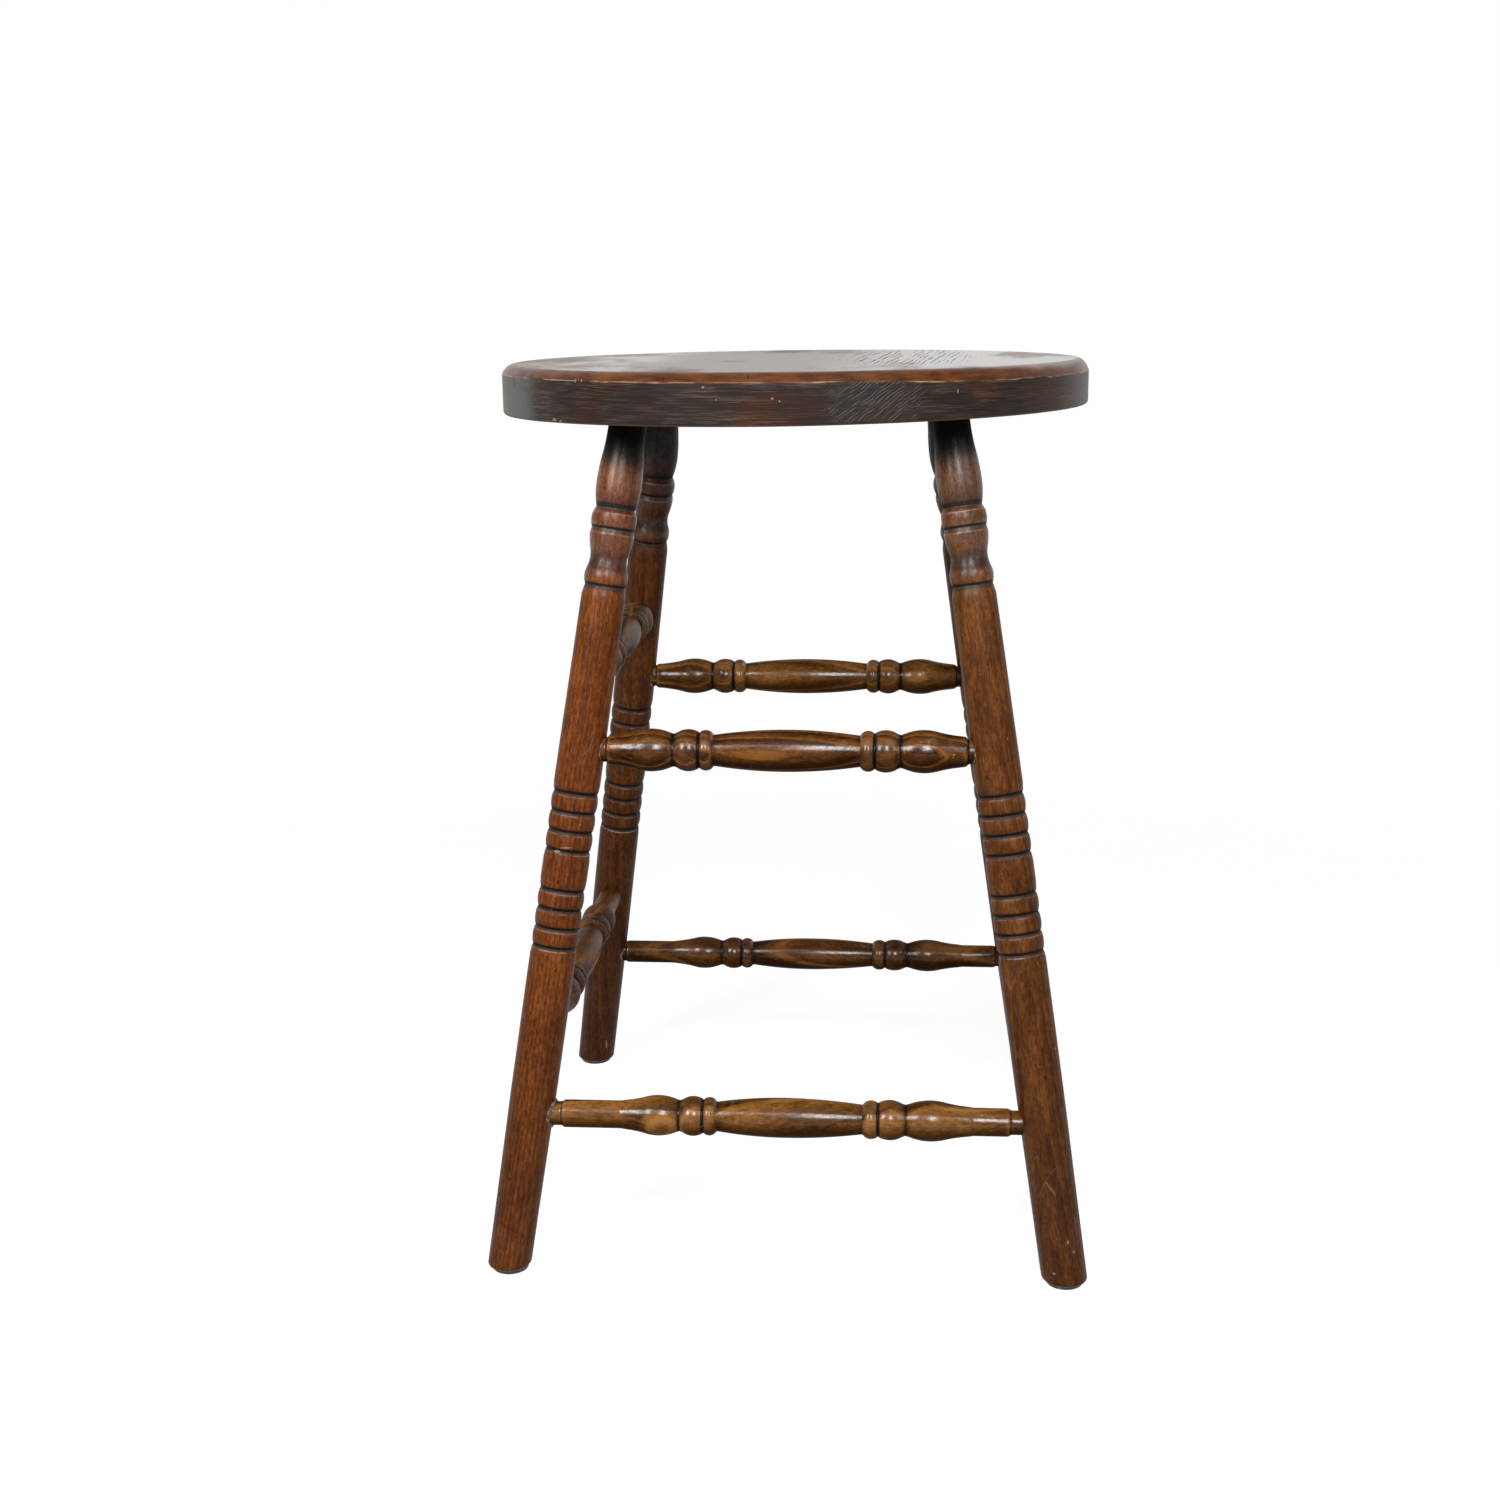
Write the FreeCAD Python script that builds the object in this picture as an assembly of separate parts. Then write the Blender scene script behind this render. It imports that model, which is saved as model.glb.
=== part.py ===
import FreeCAD, Part
import os

from FreeCAD import Placement, Rotation, Vector

# A round stool: a seat of glued boards on four raked turned legs, tied by eight turned stretchers.
# Millimetres. The origin is on the floor under the seat's centre, +Z is up and the front faces -Y.

# Overall
stool_height = 610.0
seat_radius = 206.5
seat_thickness = 33.0

# Seat edge: a worn bevel above, a small rounding below
seat_bevel_width = 8.0
seat_bevel_depth = 6.4
seat_bevel_bulge = 0.9
seat_lower_round = 2.0

# Joints between the seat's boards, as shares of the seat's radius to the right of its centre
seat_joint_shares = (-0.42, 0.155, 0.71)

# How far a leg's centre line stands from the stool's centre, the same sideways and front to back
leg_place_at_seat = 106.7
leg_place_at_floor = 190.8

# Leg thicknesses, and where it is thickest, measured along it from the floor
foot_radius = 14.6
leg_radius = 15.5
neck_radius = 12.2
leg_belly_place = 130.0
foot_round = 3.0

# Two sets of grooves round each leg
groove_count = 4
groove_pitch = 13.2
groove_depth = 1.1
groove_half_width = 1.6
groove_lip = 0.3
lower_grooves_place = 229.0
upper_grooves_place = 296.0

# The turned head of a leg, from where its shaft ends up to the seat
head_length = 119.3
head_radius = 14.9
head_start_share = 0.973
# Each run is (place, radius), reached straight, or two such pairs, a round run through the first to
# the second. Places are shares of the head's length and radii are shares of the head's radius.
head_run_shares = (
    ((0.056, 0.880),),
    ((0.096, 0.963), (0.147, 0.909)),
    ((0.205, 0.819), (0.264, 0.886)),
    ((0.306, 0.950), (0.346, 0.980)),
    ((0.376, 0.920),),
    ((0.391, 0.973),),
    ((0.426, 1.003), (0.463, 0.966)),
    ((0.491, 0.852),),
    ((0.557, 0.960), (0.641, 0.997)),
    ((0.717, 0.966), (0.780, 0.913)),
    ((0.847, 0.856), (0.930, 0.826)),
)

# Round tenon on top of a leg, in a blind hole in the seat
leg_tenon_radius = 11.0
leg_tenon_length = 24.0

# Heights of the stretchers' centre lines: front and back, then how much higher the sides are
upper_stretcher_height = 356.0
lower_stretcher_height = 107.0
upper_side_rise = 52.0
lower_side_rise = 55.0

# Stretcher thicknesses at the barrel and at the plain ends
upper_stretcher_radius = 13.8
upper_end_radius = 9.8
lower_stretcher_radius = 13.1
lower_end_radius = 9.2

# How much of a stretcher is turned, as a share of the way from its middle to its shoulder: the rest is
# a plain end
upper_turned_share = 0.94
lower_turned_share = 0.73
# The outline of half that turned length. The barrel's end comes first.
barrel_half_share = 0.423
barrel_end_share = 0.74
# Runs written as on the leg's head: places are shares of the turned half, radii of the barrel's radius
stretcher_run_shares = (
    ((0.430, 0.800),),
    ((0.474, 0.965), (0.519, 0.830)),
    ((0.525, 0.790),),
    ((0.533, 0.835),),
    ((0.603, 1.000), (0.681, 0.755)),
    ((0.686, 0.730),),
    ((0.693, 0.765),),
    ((0.806, 1.000), (0.898, 0.900)),
    ((0.952, 0.785), (1.000, 0.735)),
)
end_taper_length = 2.5

# Tenons on the stretchers' ends, and how far their shoulders stay off the legs
stretcher_tenon_radius = 8.2
stretcher_tenon_depth = 20.0
shoulder_bevel = 1.8
shoulder_gap = 2.5
front_lower_shoulder_gap = 6.0

# Glue room round each tenon and past its end
glue_gap = 0.1
hole_end_gap = 0.5

# Glide under each foot, and the nail moulded into it
glide_radius = 12.4
glide_thickness = 3.0
glide_edge_round = 1.0
nail_head_radius = 4.0
nail_head_thickness = 0.9
nail_head_cover = 1.2
nail_shank_radius = 1.1
nail_reach = 13.0
nail_point_length = 3.0
nail_tip_radius = 0.2
nail_gap = 0.05

# How far a cutting or trimming shape runs past what it cuts
overrun = 5.0
# How near to a level an edge counts as lying on it
level_slack = 0.01

# Worked out from the sizes above
seat_underside = stool_height - seat_thickness
foot_level = glide_thickness
leg_run = Vector(leg_place_at_seat - leg_place_at_floor, leg_place_at_seat - leg_place_at_floor, seat_underside)
leg_length = leg_run.Length
head_place = leg_length - head_length
upright = Vector(0, 0, 1)
centre = Vector(0, 0, 0)
# Where the middle of a quarter round lies, from either of its sides, as a share of its radius
round_middle_share = 1 - 0.5 ** 0.5

corners = {
    "front_left": (-1, -1),
    "front_right": (1, -1),
    "back_left": (-1, 1),
    "back_right": (1, 1),
}


def leg_place(height):
    """How far a leg's centre line stands from the stool's centre, each way, at a height."""
    return leg_place_at_floor + (leg_place_at_seat - leg_place_at_floor) * height / seat_underside


def outline_point(place, radius):
    """A point of a turned outline, at a place along the axis."""
    return Vector(radius, 0, place)


def turned_solid(start, runs):
    """A solid turned round the Z axis, from an outline of straight and round runs."""
    bottom = outline_point(start[0], 0)
    here = outline_point(*start)
    edges = [Part.LineSegment(bottom, here).toShape()]
    for run in runs:
        points = [outline_point(*point) for point in run]
        if len(points) == 1:
            edges.append(Part.LineSegment(here, points[0]).toShape())
        else:
            edges.append(Part.Arc(here, points[0], points[1]).toShape())
        here = points[-1]
    top = outline_point(here.z, 0)
    edges.append(Part.LineSegment(here, top).toShape())
    edges.append(Part.LineSegment(top, bottom).toShape())
    return Part.Face(Part.Wire(edges)).revolve(centre, upright, 360)


def cylinder_between(start, end, radius):
    """A plain round bar from one point to another."""
    return Part.makeCylinder(radius, (end - start).Length, start, end - start)


def level_slab(low, high):
    """A slab between two heights, wider than the stool."""
    half = seat_radius + leg_place_at_floor
    return Part.makeBox(2 * half, 2 * half, high - low, Vector(-half, -half, low))


def groove_runs(first_place):
    """The outline over one set of grooves: narrow Vs, with a slightly rounded bead between each two."""
    lip = leg_radius - groove_lip
    runs = [((first_place - groove_pitch / 2, leg_radius),)]
    for count in range(groove_count):
        place = first_place + count * groove_pitch
        if count == 0:
            runs.append(((place - groove_half_width, lip),))
        else:
            runs.append(((place - groove_pitch / 2, leg_radius), (place - groove_half_width, lip)))
        runs.append(((place, leg_radius - groove_depth),))
        runs.append(((place + groove_half_width, lip),))
    last_place = first_place + (groove_count - 1) * groove_pitch
    runs.append(((last_place + groove_pitch / 2, leg_radius),))
    return runs


def head_runs():
    """The outline of a leg's turned head, then its neck, which runs on past the seat's underside."""
    runs = [((head_place, head_start_share * head_radius),)]
    for run in head_run_shares:
        runs.append(tuple((head_place + place * head_length, radius * head_radius) for place, radius in run))
    runs.append(((leg_length + overrun, neck_radius),))
    return runs


def leg_point(corner, place):
    """A point on a leg's centre line, at a place along it from the floor."""
    sideways, backward = corners[corner]
    share = place / leg_length
    reach = leg_place_at_floor + leg_run.x * share
    return Vector(sideways * reach, backward * reach, seat_underside * share)


def leg_tenon(corner, gap, end_gap):
    """The round tenon on top of a leg, or with gaps the hole that it sits in."""
    start = leg_point(corner, leg_length - overrun)
    end = leg_point(corner, leg_length + leg_tenon_length + end_gap)
    return cylinder_between(start, end, leg_tenon_radius + gap)


def seat_disc():
    """The whole round seat, with its bevel above and rounding below."""
    low = seat_underside
    side_top = stool_height - seat_bevel_depth
    inner = seat_radius - seat_bevel_width
    middle = ((side_top + stool_height) / 2 + seat_bevel_bulge, (inner + seat_radius) / 2 + seat_bevel_bulge)
    round_inset = seat_lower_round * round_middle_share
    round_middle = (low + round_inset, seat_radius - round_inset)
    runs = (
        (round_middle, (low + seat_lower_round, seat_radius)),
        ((side_top, seat_radius),),
        (middle, (stool_height, inner)),
    )
    return turned_solid((low, seat_radius - seat_lower_round), runs)


def seat_boards():
    """The seat sawn at its glued joints into boards, each with its share of the legs' holes."""
    disc = seat_disc()
    for corner in corners:
        disc = disc.cut(leg_tenon(corner, glue_gap, hole_end_gap))
    joints = [share * seat_radius for share in seat_joint_shares]
    edges = [-seat_radius - overrun] + joints + [seat_radius + overrun]
    names = ("left", "centre_left", "centre_right", "right")
    half = seat_radius + overrun
    tall = seat_thickness + 2 * overrun
    boards = {}
    for name, left, right in zip(names, edges, edges[1:]):
        strip = Part.makeBox(right - left, 2 * half, tall, Vector(left, -half, seat_underside - overrun))
        boards["seat_board_" + name] = disc.common(strip)
    return boards


def stretcher_layout():
    """Each stretcher's height, the way it runs, its side of the stool, its turning and its shoulder gap."""
    upper = (upper_turned_share, upper_stretcher_radius, upper_end_radius)
    lower = (lower_turned_share, lower_stretcher_radius, lower_end_radius)
    layout = {}
    levels = (
        ("upper", upper_stretcher_height, upper_side_rise, upper),
        ("lower", lower_stretcher_height, lower_side_rise, lower),
    )
    for level, height, rise, turning in levels:
        for side, sign in (("front", -1), ("back", 1)):
            low_front = (side, level) == ("front", "lower")
            gap = front_lower_shoulder_gap if low_front else shoulder_gap
            layout["stretcher_%s_%s" % (side, level)] = (height, "x", sign, turning, gap)
        for side, sign in (("left", -1), ("right", 1)):
            layout["stretcher_%s_%s" % (side, level)] = (height + rise, "y", sign, turning, shoulder_gap)
    return layout


def stretcher_place(height, direction, sign):
    """Where a stretcher's middle is, and the way it runs."""
    reach = leg_place(height)
    if direction == "x":
        return Vector(0, sign * reach, height), Vector(1, 0, 0)
    return Vector(sign * reach, 0, height), Vector(0, 1, 0)


def tenon_end(height):
    """How far from a stretcher's middle its tenons end, inside the legs."""
    return leg_place(height) - leg_radius + stretcher_tenon_depth


def half_stretcher_runs(height, turned_half, shoulder, radius, end_radius):
    """The outline of half a stretcher, from the barrel's end to the tenon's end."""
    runs = []
    for run in stretcher_run_shares:
        runs.append(tuple((place * turned_half, share * radius) for place, share in run))
    runs.append(((turned_half + end_taper_length, end_radius),))
    runs.append(((shoulder - shoulder_bevel, end_radius),))
    runs.append(((shoulder, stretcher_tenon_radius),))
    runs.append(((tenon_end(height), stretcher_tenon_radius),))
    return runs


def mirrored_runs(start, runs):
    """The same outline on the other side of the middle, walked from its far end to the middle."""
    points = [start]
    kinds = []
    for run in runs:
        points.extend(run)
        kinds.append(len(run))
    points = [(-place, radius) for place, radius in reversed(points)]
    far_end = points[0]
    back_runs = []
    index = 1
    for kind in reversed(kinds):
        back_runs.append(tuple(points[index:index + kind]))
        index += kind
    return far_end, back_runs


def stretcher(height, direction, sign, turning, gap):
    """One turned stretcher, in its place between two legs."""
    turned_share, radius, end_radius = turning
    shoulder = leg_place(height) - leg_radius - gap
    turned_half = turned_share * shoulder
    barrel_end = (barrel_half_share * turned_half, barrel_end_share * radius)
    runs = half_stretcher_runs(height, turned_half, shoulder, radius, end_radius)
    far_end, back_runs = mirrored_runs(barrel_end, runs)
    barrel = ((0, radius), barrel_end)
    solid = turned_solid(far_end, back_runs + [barrel] + runs)
    middle, way = stretcher_place(height, direction, sign)
    solid.Placement = Placement(middle, Rotation(upright, way))
    return solid


def stretcher_holes():
    """Both holes of every stretcher, as the bars that the legs are bored with."""
    holes = []
    for height, direction, sign, turning, gap in stretcher_layout().values():
        middle, way = stretcher_place(height, direction, sign)
        inner = leg_place(height) - leg_radius - overrun
        outer = tenon_end(height) + hole_end_gap
        for side in (-1, 1):
            start = middle + way * (side * inner)
            end = middle + way * (side * outer)
            holes.append(cylinder_between(start, end, stretcher_tenon_radius + glue_gap))
    return holes


def foot_centre(corner):
    """Where a leg's centre line meets the level face of its foot."""
    sideways, backward = corners[corner]
    reach = leg_place(foot_level)
    return Vector(sideways * reach, backward * reach, foot_level)


def nail(corner, gap):
    """A glide's nail, upright in its foot, or with a gap the room that it needs."""
    middle = foot_centre(corner)
    head_low = nail_head_cover
    head_high = head_low + nail_head_thickness
    point = foot_level + nail_reach
    shoulder = point - nail_point_length
    shank = nail_shank_radius + gap
    runs = (
        ((head_high, nail_head_radius + gap),),
        ((head_high, shank),),
        ((shoulder, shank),),
        ((point + gap, nail_tip_radius + gap),),
    )
    solid = turned_solid((head_low, nail_head_radius + gap), runs)
    solid.translate(Vector(middle.x, middle.y, 0))
    return solid


def foot_edges(solid):
    """The edge round the level face of a leg's foot."""
    return [edge for edge in solid.Edges if edge.BoundBox.ZMax - foot_level < level_slack]


def leg(corner):
    """One turned leg, cut level at both ends, with its tenon on top and its holes bored."""
    runs = [((leg_belly_place, leg_radius),)]
    runs += groove_runs(lower_grooves_place)
    runs += groove_runs(upper_grooves_place)
    runs += head_runs()
    solid = turned_solid((-leg_radius, foot_radius), runs)
    start = leg_point(corner, 0)
    way = leg_point(corner, leg_length) - start
    solid.Placement = Placement(start, Rotation(upright, way))
    solid = solid.common(level_slab(foot_level, seat_underside))
    solid = solid.makeFillet(foot_round, foot_edges(solid))
    solid = solid.fuse(leg_tenon(corner, 0, 0))
    for hole in stretcher_holes():
        solid = solid.cut(hole)
    return solid.cut(nail(corner, nail_gap))


def glide(corner):
    """The round glide under a foot, with the room for its nail."""
    middle = foot_centre(corner)
    round_inset = glide_edge_round * round_middle_share
    round_middle = (round_inset, glide_radius - round_inset)
    runs = (
        (round_middle, (glide_edge_round, glide_radius)),
        ((glide_thickness, glide_radius),),
    )
    solid = turned_solid((0, glide_radius - glide_edge_round), runs)
    solid.translate(Vector(middle.x, middle.y, 0))
    return solid.cut(nail(corner, nail_gap))


def build():
    """Every node of the stool by name."""
    nodes = seat_boards()
    for corner in corners:
        nodes["leg_" + corner] = leg(corner)
        nodes["glide_" + corner] = glide(corner)
    for name, sizes in stretcher_layout().items():
        nodes[name] = stretcher(*sizes)
    nodes["glide_nails"] = Part.makeCompound([nail(corner, 0) for corner in corners])
    return nodes


os.makedirs("parts", exist_ok=True)
for node_name, shape in build().items():
    shape.exportStep("parts/%s.step" % node_name)
    print(node_name, len(shape.Solids), round(shape.Volume), shape.isValid())
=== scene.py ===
"""The look of a round farmhouse stool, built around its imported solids.

A seat of glued boards stands on four raked turned legs, tied by eight turned stretchers. Everything is
in metres in the solids' own frame: the origin is on the floor under the seat's centre, +Z is up and the
front faces -Y.
"""

import logging
import math
from dataclasses import dataclass, replace
from enum import Enum
from typing import Any, ClassVar, Sequence

import bmesh
import bpy
import numpy as np
from mathutils import Matrix, Vector, noise


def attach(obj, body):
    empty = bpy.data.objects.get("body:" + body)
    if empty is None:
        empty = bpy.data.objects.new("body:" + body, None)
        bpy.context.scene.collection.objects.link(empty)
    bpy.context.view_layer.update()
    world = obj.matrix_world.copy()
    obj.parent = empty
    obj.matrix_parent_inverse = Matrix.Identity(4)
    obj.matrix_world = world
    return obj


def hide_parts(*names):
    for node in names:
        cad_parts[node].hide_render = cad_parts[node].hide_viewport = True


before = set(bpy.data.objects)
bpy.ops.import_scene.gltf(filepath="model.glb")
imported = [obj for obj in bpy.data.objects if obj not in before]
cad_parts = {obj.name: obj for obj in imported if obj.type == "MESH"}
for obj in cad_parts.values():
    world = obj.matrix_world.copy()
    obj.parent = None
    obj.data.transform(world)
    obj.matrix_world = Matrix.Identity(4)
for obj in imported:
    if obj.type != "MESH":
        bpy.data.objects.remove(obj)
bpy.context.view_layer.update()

logger = logging.getLogger("farmhouse_stool")

MM = 0.001
BODY = "root"
UP = Vector((0.0, 0.0, 1.0))
WHITE = (1.0, 1.0, 1.0)

Colour = tuple[float, float, float]
Pair = tuple[float, float]
Run = tuple[Pair, ...]


class Corner(Enum):
    """A leg's corner of the stool, as the signs of its X and Y."""

    FRONT_LEFT = (-1, -1)
    FRONT_RIGHT = (1, -1)
    BACK_LEFT = (-1, 1)
    BACK_RIGHT = (1, 1)

    @property
    def word(self) -> str:
        """The corner's name as the solids write it."""
        return self.name.lower()


class Side(Enum):
    """A side of the stool, as the way that its stretchers run and the sign of their place."""

    FRONT = ("x", -1)
    BACK = ("x", 1)
    LEFT = ("y", -1)
    RIGHT = ("y", 1)

    @property
    def word(self) -> str:
        """The side's name as the solids write it."""
        return self.name.lower()

    @property
    def across(self) -> bool:
        """Whether the side's stretchers run from left to right."""
        return self.value[0] == "x"

    @property
    def way(self) -> Vector:
        """The direction in which the side's stretchers run."""
        return Vector((1.0, 0.0, 0.0)) if self.across else Vector((0.0, 1.0, 0.0))


class Level(Enum):
    """The height of a stretcher on its side."""

    UPPER = "upper"
    LOWER = "lower"


class Surface(Enum):
    """How a piece's faces are shaded."""

    SMOOTH = math.radians(38)
    CRISP = math.radians(25)


# Node trees

SHADER_TREE = "ShaderNodeTree"
GEOMETRY_TREE = "GeometryNodeTree"
SOCKET_KINDS = {float: "Float", int: "Int", tuple: "Vector"}
ORIGIN = (0.0, 0.0, 0.0)


@dataclass(frozen=True)
class Value:
    """A number, vector or colour that a node gives.

    Attributes:
        bench: The bench of its tree.
        socket: The socket that gives it.
    """

    bench: "Bench"
    socket: bpy.types.NodeSocket

    def __add__(self, other: Any) -> "Value":
        """Both together."""
        return self.bench.sum("ADD", self, other)

    def __radd__(self, other: Any) -> "Value":
        """Both together, the plain number first."""
        return self.bench.sum("ADD", other, self)

    def __sub__(self, other: Any) -> "Value":
        """This less the other."""
        return self.bench.sum("SUBTRACT", self, other)

    def __rsub__(self, other: Any) -> "Value":
        """The other less this."""
        return self.bench.sum("SUBTRACT", other, self)

    def __mul__(self, other: Any) -> "Value":
        """This times the other."""
        return self.bench.sum("MULTIPLY", self, other)

    def __truediv__(self, other: Any) -> "Value":
        """This divided by the other."""
        return self.bench.sum("DIVIDE", self, other)

    def __abs__(self) -> "Value":
        """This without its sign."""
        return self.bench.sum("ABSOLUTE", self)

    def fract(self) -> "Value":
        """What is left of this above the next whole number down."""
        return self.bench.sum("FRACT", self)

    def most(self, other: Any) -> "Value":
        """The larger of the two."""
        return self.bench.sum("MAXIMUM", self, other)

    def clamped(self) -> "Value":
        """This sum, kept from 0 to 1."""
        self.socket.node.use_clamp = True
        return self

    def step(self, low: Any, high: Any, start: Any = 0.0, end: Any = 1.0) -> "Value":
        """Eases this number from one level to another."""
        inputs = {"Value": self, "From Min": low, "From Max": high, "To Min": start, "To Max": end}
        return self.bench.out("ShaderNodeMapRange", 0, inputs, interpolation_type="SMOOTHSTEP")

    def mix(self, first: Any, second: Any) -> "Value":
        """The first colour where this number is 0, and the second where it is 1."""
        return self.bench.out("ShaderNodeMix", 2, {0: self, 6: first, 7: second}, data_type="RGBA")

    def vector(self, operation: str, other: Any = ORIGIN) -> "Value":
        """Works out a vector from this one and another."""
        output = "Value" if operation in ("LENGTH", "DOT_PRODUCT") else "Vector"
        return self.bench.out("ShaderNodeVectorMath", output, {0: self, 1: other}, operation=operation)

    def stretched(self, factor: Any) -> "Value":
        """This vector, longer by a factor."""
        return self.bench.out("ShaderNodeVectorMath", 0, {0: self, "Scale": factor}, operation="SCALE")

    def turned(self, angle: Any, axis: str) -> "Value":
        """This vector, turned round an axis."""
        inputs = {"Vector": self, "Angle": angle}
        return self.bench.out("ShaderNodeVectorRotate", 0, inputs, rotation_type=axis + "_AXIS")

    def axis(self, name: str) -> "Value":
        """This vector's X, Y or Z."""
        return self.bench.out("ShaderNodeSeparateXYZ", name, {"Vector": self})

    def speckle(self, stretch: Colour, detail: float = 2.0, rough: float = 0.5) -> "Value":
        """Noise at this place that is finer along some axes than others.

        Args:
            stretch: How many blots there are in a metre along each axis.
            detail: How many finer layers it has.
            rough: How strong the finer layers are.

        Returns:
            The noise, from 0 to 1.
        """
        place = self.vector("MULTIPLY", stretch)
        inputs = {"Vector": place, "Scale": 1.0, "Detail": detail, "Roughness": rough}
        return self.bench.out("ShaderNodeTexNoise", "Fac", inputs)


@dataclass
class Bench:
    """A place to add and join the nodes of one tree.

    Attributes:
        tree: The node tree that is worked on.
    """

    tree: bpy.types.NodeTree

    @classmethod
    def opened(cls, family: str, name: str, inputs: dict[str, Any]) -> "tuple[Bench, dict[str, Value]]":
        """Makes a node group.

        Args:
            family: Blender's name of the tree's type.
            name: The group's name.
            inputs: Each input's default by name, or its kind where it has no default.

        Returns:
            Its bench, and its inputs by name.
        """
        bench = cls(bpy.data.node_groups.new(name, family))
        for label, default in inputs.items():
            kind = default if isinstance(default, str) else SOCKET_KINDS[type(default)]
            socket = bench.tree.interface.new_socket(
                name=label, in_out="INPUT", socket_type="NodeSocket" + kind
            )
            if kind is not default:
                socket.default_value = default
        return bench, bench.given(bench.add("NodeGroupInput"))

    def closed(self, outputs: dict[str, Value], kind: str = "Float") -> bpy.types.NodeTree:
        """Ends a node group.

        Args:
            outputs: Its outputs by name.
            kind: The kind of its outputs.

        Returns:
            Its tree.
        """
        for label in outputs:
            self.tree.interface.new_socket(name=label, in_out="OUTPUT", socket_type="NodeSocket" + kind)
        self.add("NodeGroupOutput", outputs)
        return self.tree

    def add(self, kind: str, inputs: dict[Any, Any] | None = None, **settings: Any) -> bpy.types.Node:
        """Adds a node.

        Args:
            kind: Blender's name of the node's type.
            inputs: Plain or worked-out values for its inputs, by name or number.
            **settings: Values for the node's own settings.

        Returns:
            The new node.
        """
        node = self.tree.nodes.new(kind)
        for name, value in settings.items():
            setattr(node, name, value)
        for name, value in (inputs or {}).items():
            self.feed(node, name, value)
        return node

    def out(self, kind: str, output: Any, inputs: dict[Any, Any] | None = None, **settings: Any) -> Value:
        """Adds a node for one of its outputs."""
        return Value(self, self.add(kind, inputs, **settings).outputs[output])

    def given(self, node: bpy.types.Node) -> dict[str, Value]:
        """What a node's outputs give, by name."""
        return {socket.name: Value(self, socket) for socket in node.outputs}

    def feed(self, node: bpy.types.Node, name: Any, value: Any) -> None:
        """Sets one input of a node, or joins a value to it.

        Args:
            node: The node.
            name: The input's name or number.
            value: A plain value, a worked-out one, or a node whose first output is joined.
        """
        if isinstance(value, bpy.types.Node):
            value = Value(self, value.outputs[0])
        if isinstance(value, Value):
            self.tree.links.new(value.socket, node.inputs[name])
        elif node.inputs[name].type == "RGBA":
            node.inputs[name].default_value = opaque(value)
        else:
            node.inputs[name].default_value = value

    def sum(self, operation: str, first: Any, second: Any = 0.0) -> Value:
        """Works out one number from two."""
        return self.out("ShaderNodeMath", 0, {0: first, 1: second}, operation=operation)

    def attribute(self, name: str, output: str = "Fac") -> Value:
        """Reads a value kept on the piece's points."""
        return self.out("ShaderNodeAttribute", output, attribute_name=name)

    def group(self, made: bpy.types.NodeTree, inputs: dict[str, Any]) -> dict[str, Value]:
        """Places a node group.

        Args:
            made: The group.
            inputs: Plain or worked-out values for its inputs, by name.

        Returns:
            Its outputs by name.
        """
        node = self.add("ShaderNodeGroup", node_tree=made)
        for name, value in inputs.items():
            self.feed(node, name, value)
        return self.given(node)


def opaque(colour: Colour) -> tuple[float, ...]:
    """A plain colour with its alpha."""
    return (*colour, 1.0)


def timber_grain() -> bpy.types.NodeTree:
    """Grain of a sawn blank: growth rings round a far pith, fibres, dark pores and broad blotches."""
    sizes = {"Place": ORIGIN, "Pith": (0.05, 0.0, 0.0), "Ring Pitch": 0.004, "Waviness": 0.002}
    bench, start = Bench.opened(SHADER_TREE, "timber grain", sizes)
    place = start["Place"]
    drift = place.vector("MULTIPLY", (34.0, 34.0, 7.0))
    sway = bench.out("ShaderNodeTexNoise", "Color", {"Vector": drift, "Scale": 1.0, "Detail": 2.0})
    bent = place.vector("ADD", sway.vector("SUBTRACT", (0.5, 0.5, 0.5)).stretched(start["Waviness"]))
    level = bent.vector("SUBTRACT", start["Pith"]).vector("MULTIPLY", (1.0, 1.0, 0.035))
    within = (level.vector("LENGTH") / start["Ring Pitch"]).fract()
    patchy = place.speckle((60.0, 60.0, 24.0)).step(0.36, 0.60, 0.25, 1.0)
    patterns = {
        "Rings": within.step(0.30, 0.90) * within.step(0.90, 1.0, 1.0, 0.0),
        "Lines": abs(within - 0.10).step(0.02, 0.09, 1.0, 0.0) * patchy,
        "Fibres": bent.speckle((1300.0, 1300.0, 75.0), 3.0, 0.6),
        "Streaks": bent.speckle((330.0, 330.0, 26.0), 3.0, 0.62),
        "Pores": place.speckle((1150.0, 1150.0, 210.0), 2.0, 0.6).step(0.55, 0.68),
        "Mottle": place.speckle((420.0, 420.0, 210.0), 4.0, 0.68),
        "Blotches": place.speckle((60.0, 60.0, 26.0), 3.0, 0.6),
    }
    return bench.closed(patterns)


def lacquer_ripple() -> bpy.types.NodeTree:
    """The uneven surface of brushed lacquer: long waves, and a finer crackle over them."""
    bench, start = Bench.opened(SHADER_TREE, "lacquer ripple", {"Place": ORIGIN, "Crackle": 0.3})
    waves = start["Place"].speckle((130.0, 130.0, 90.0))
    crackle = start["Place"].speckle((900.0, 900.0, 520.0)) * start["Crackle"]
    return bench.closed({"Height": waves + crackle})


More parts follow.
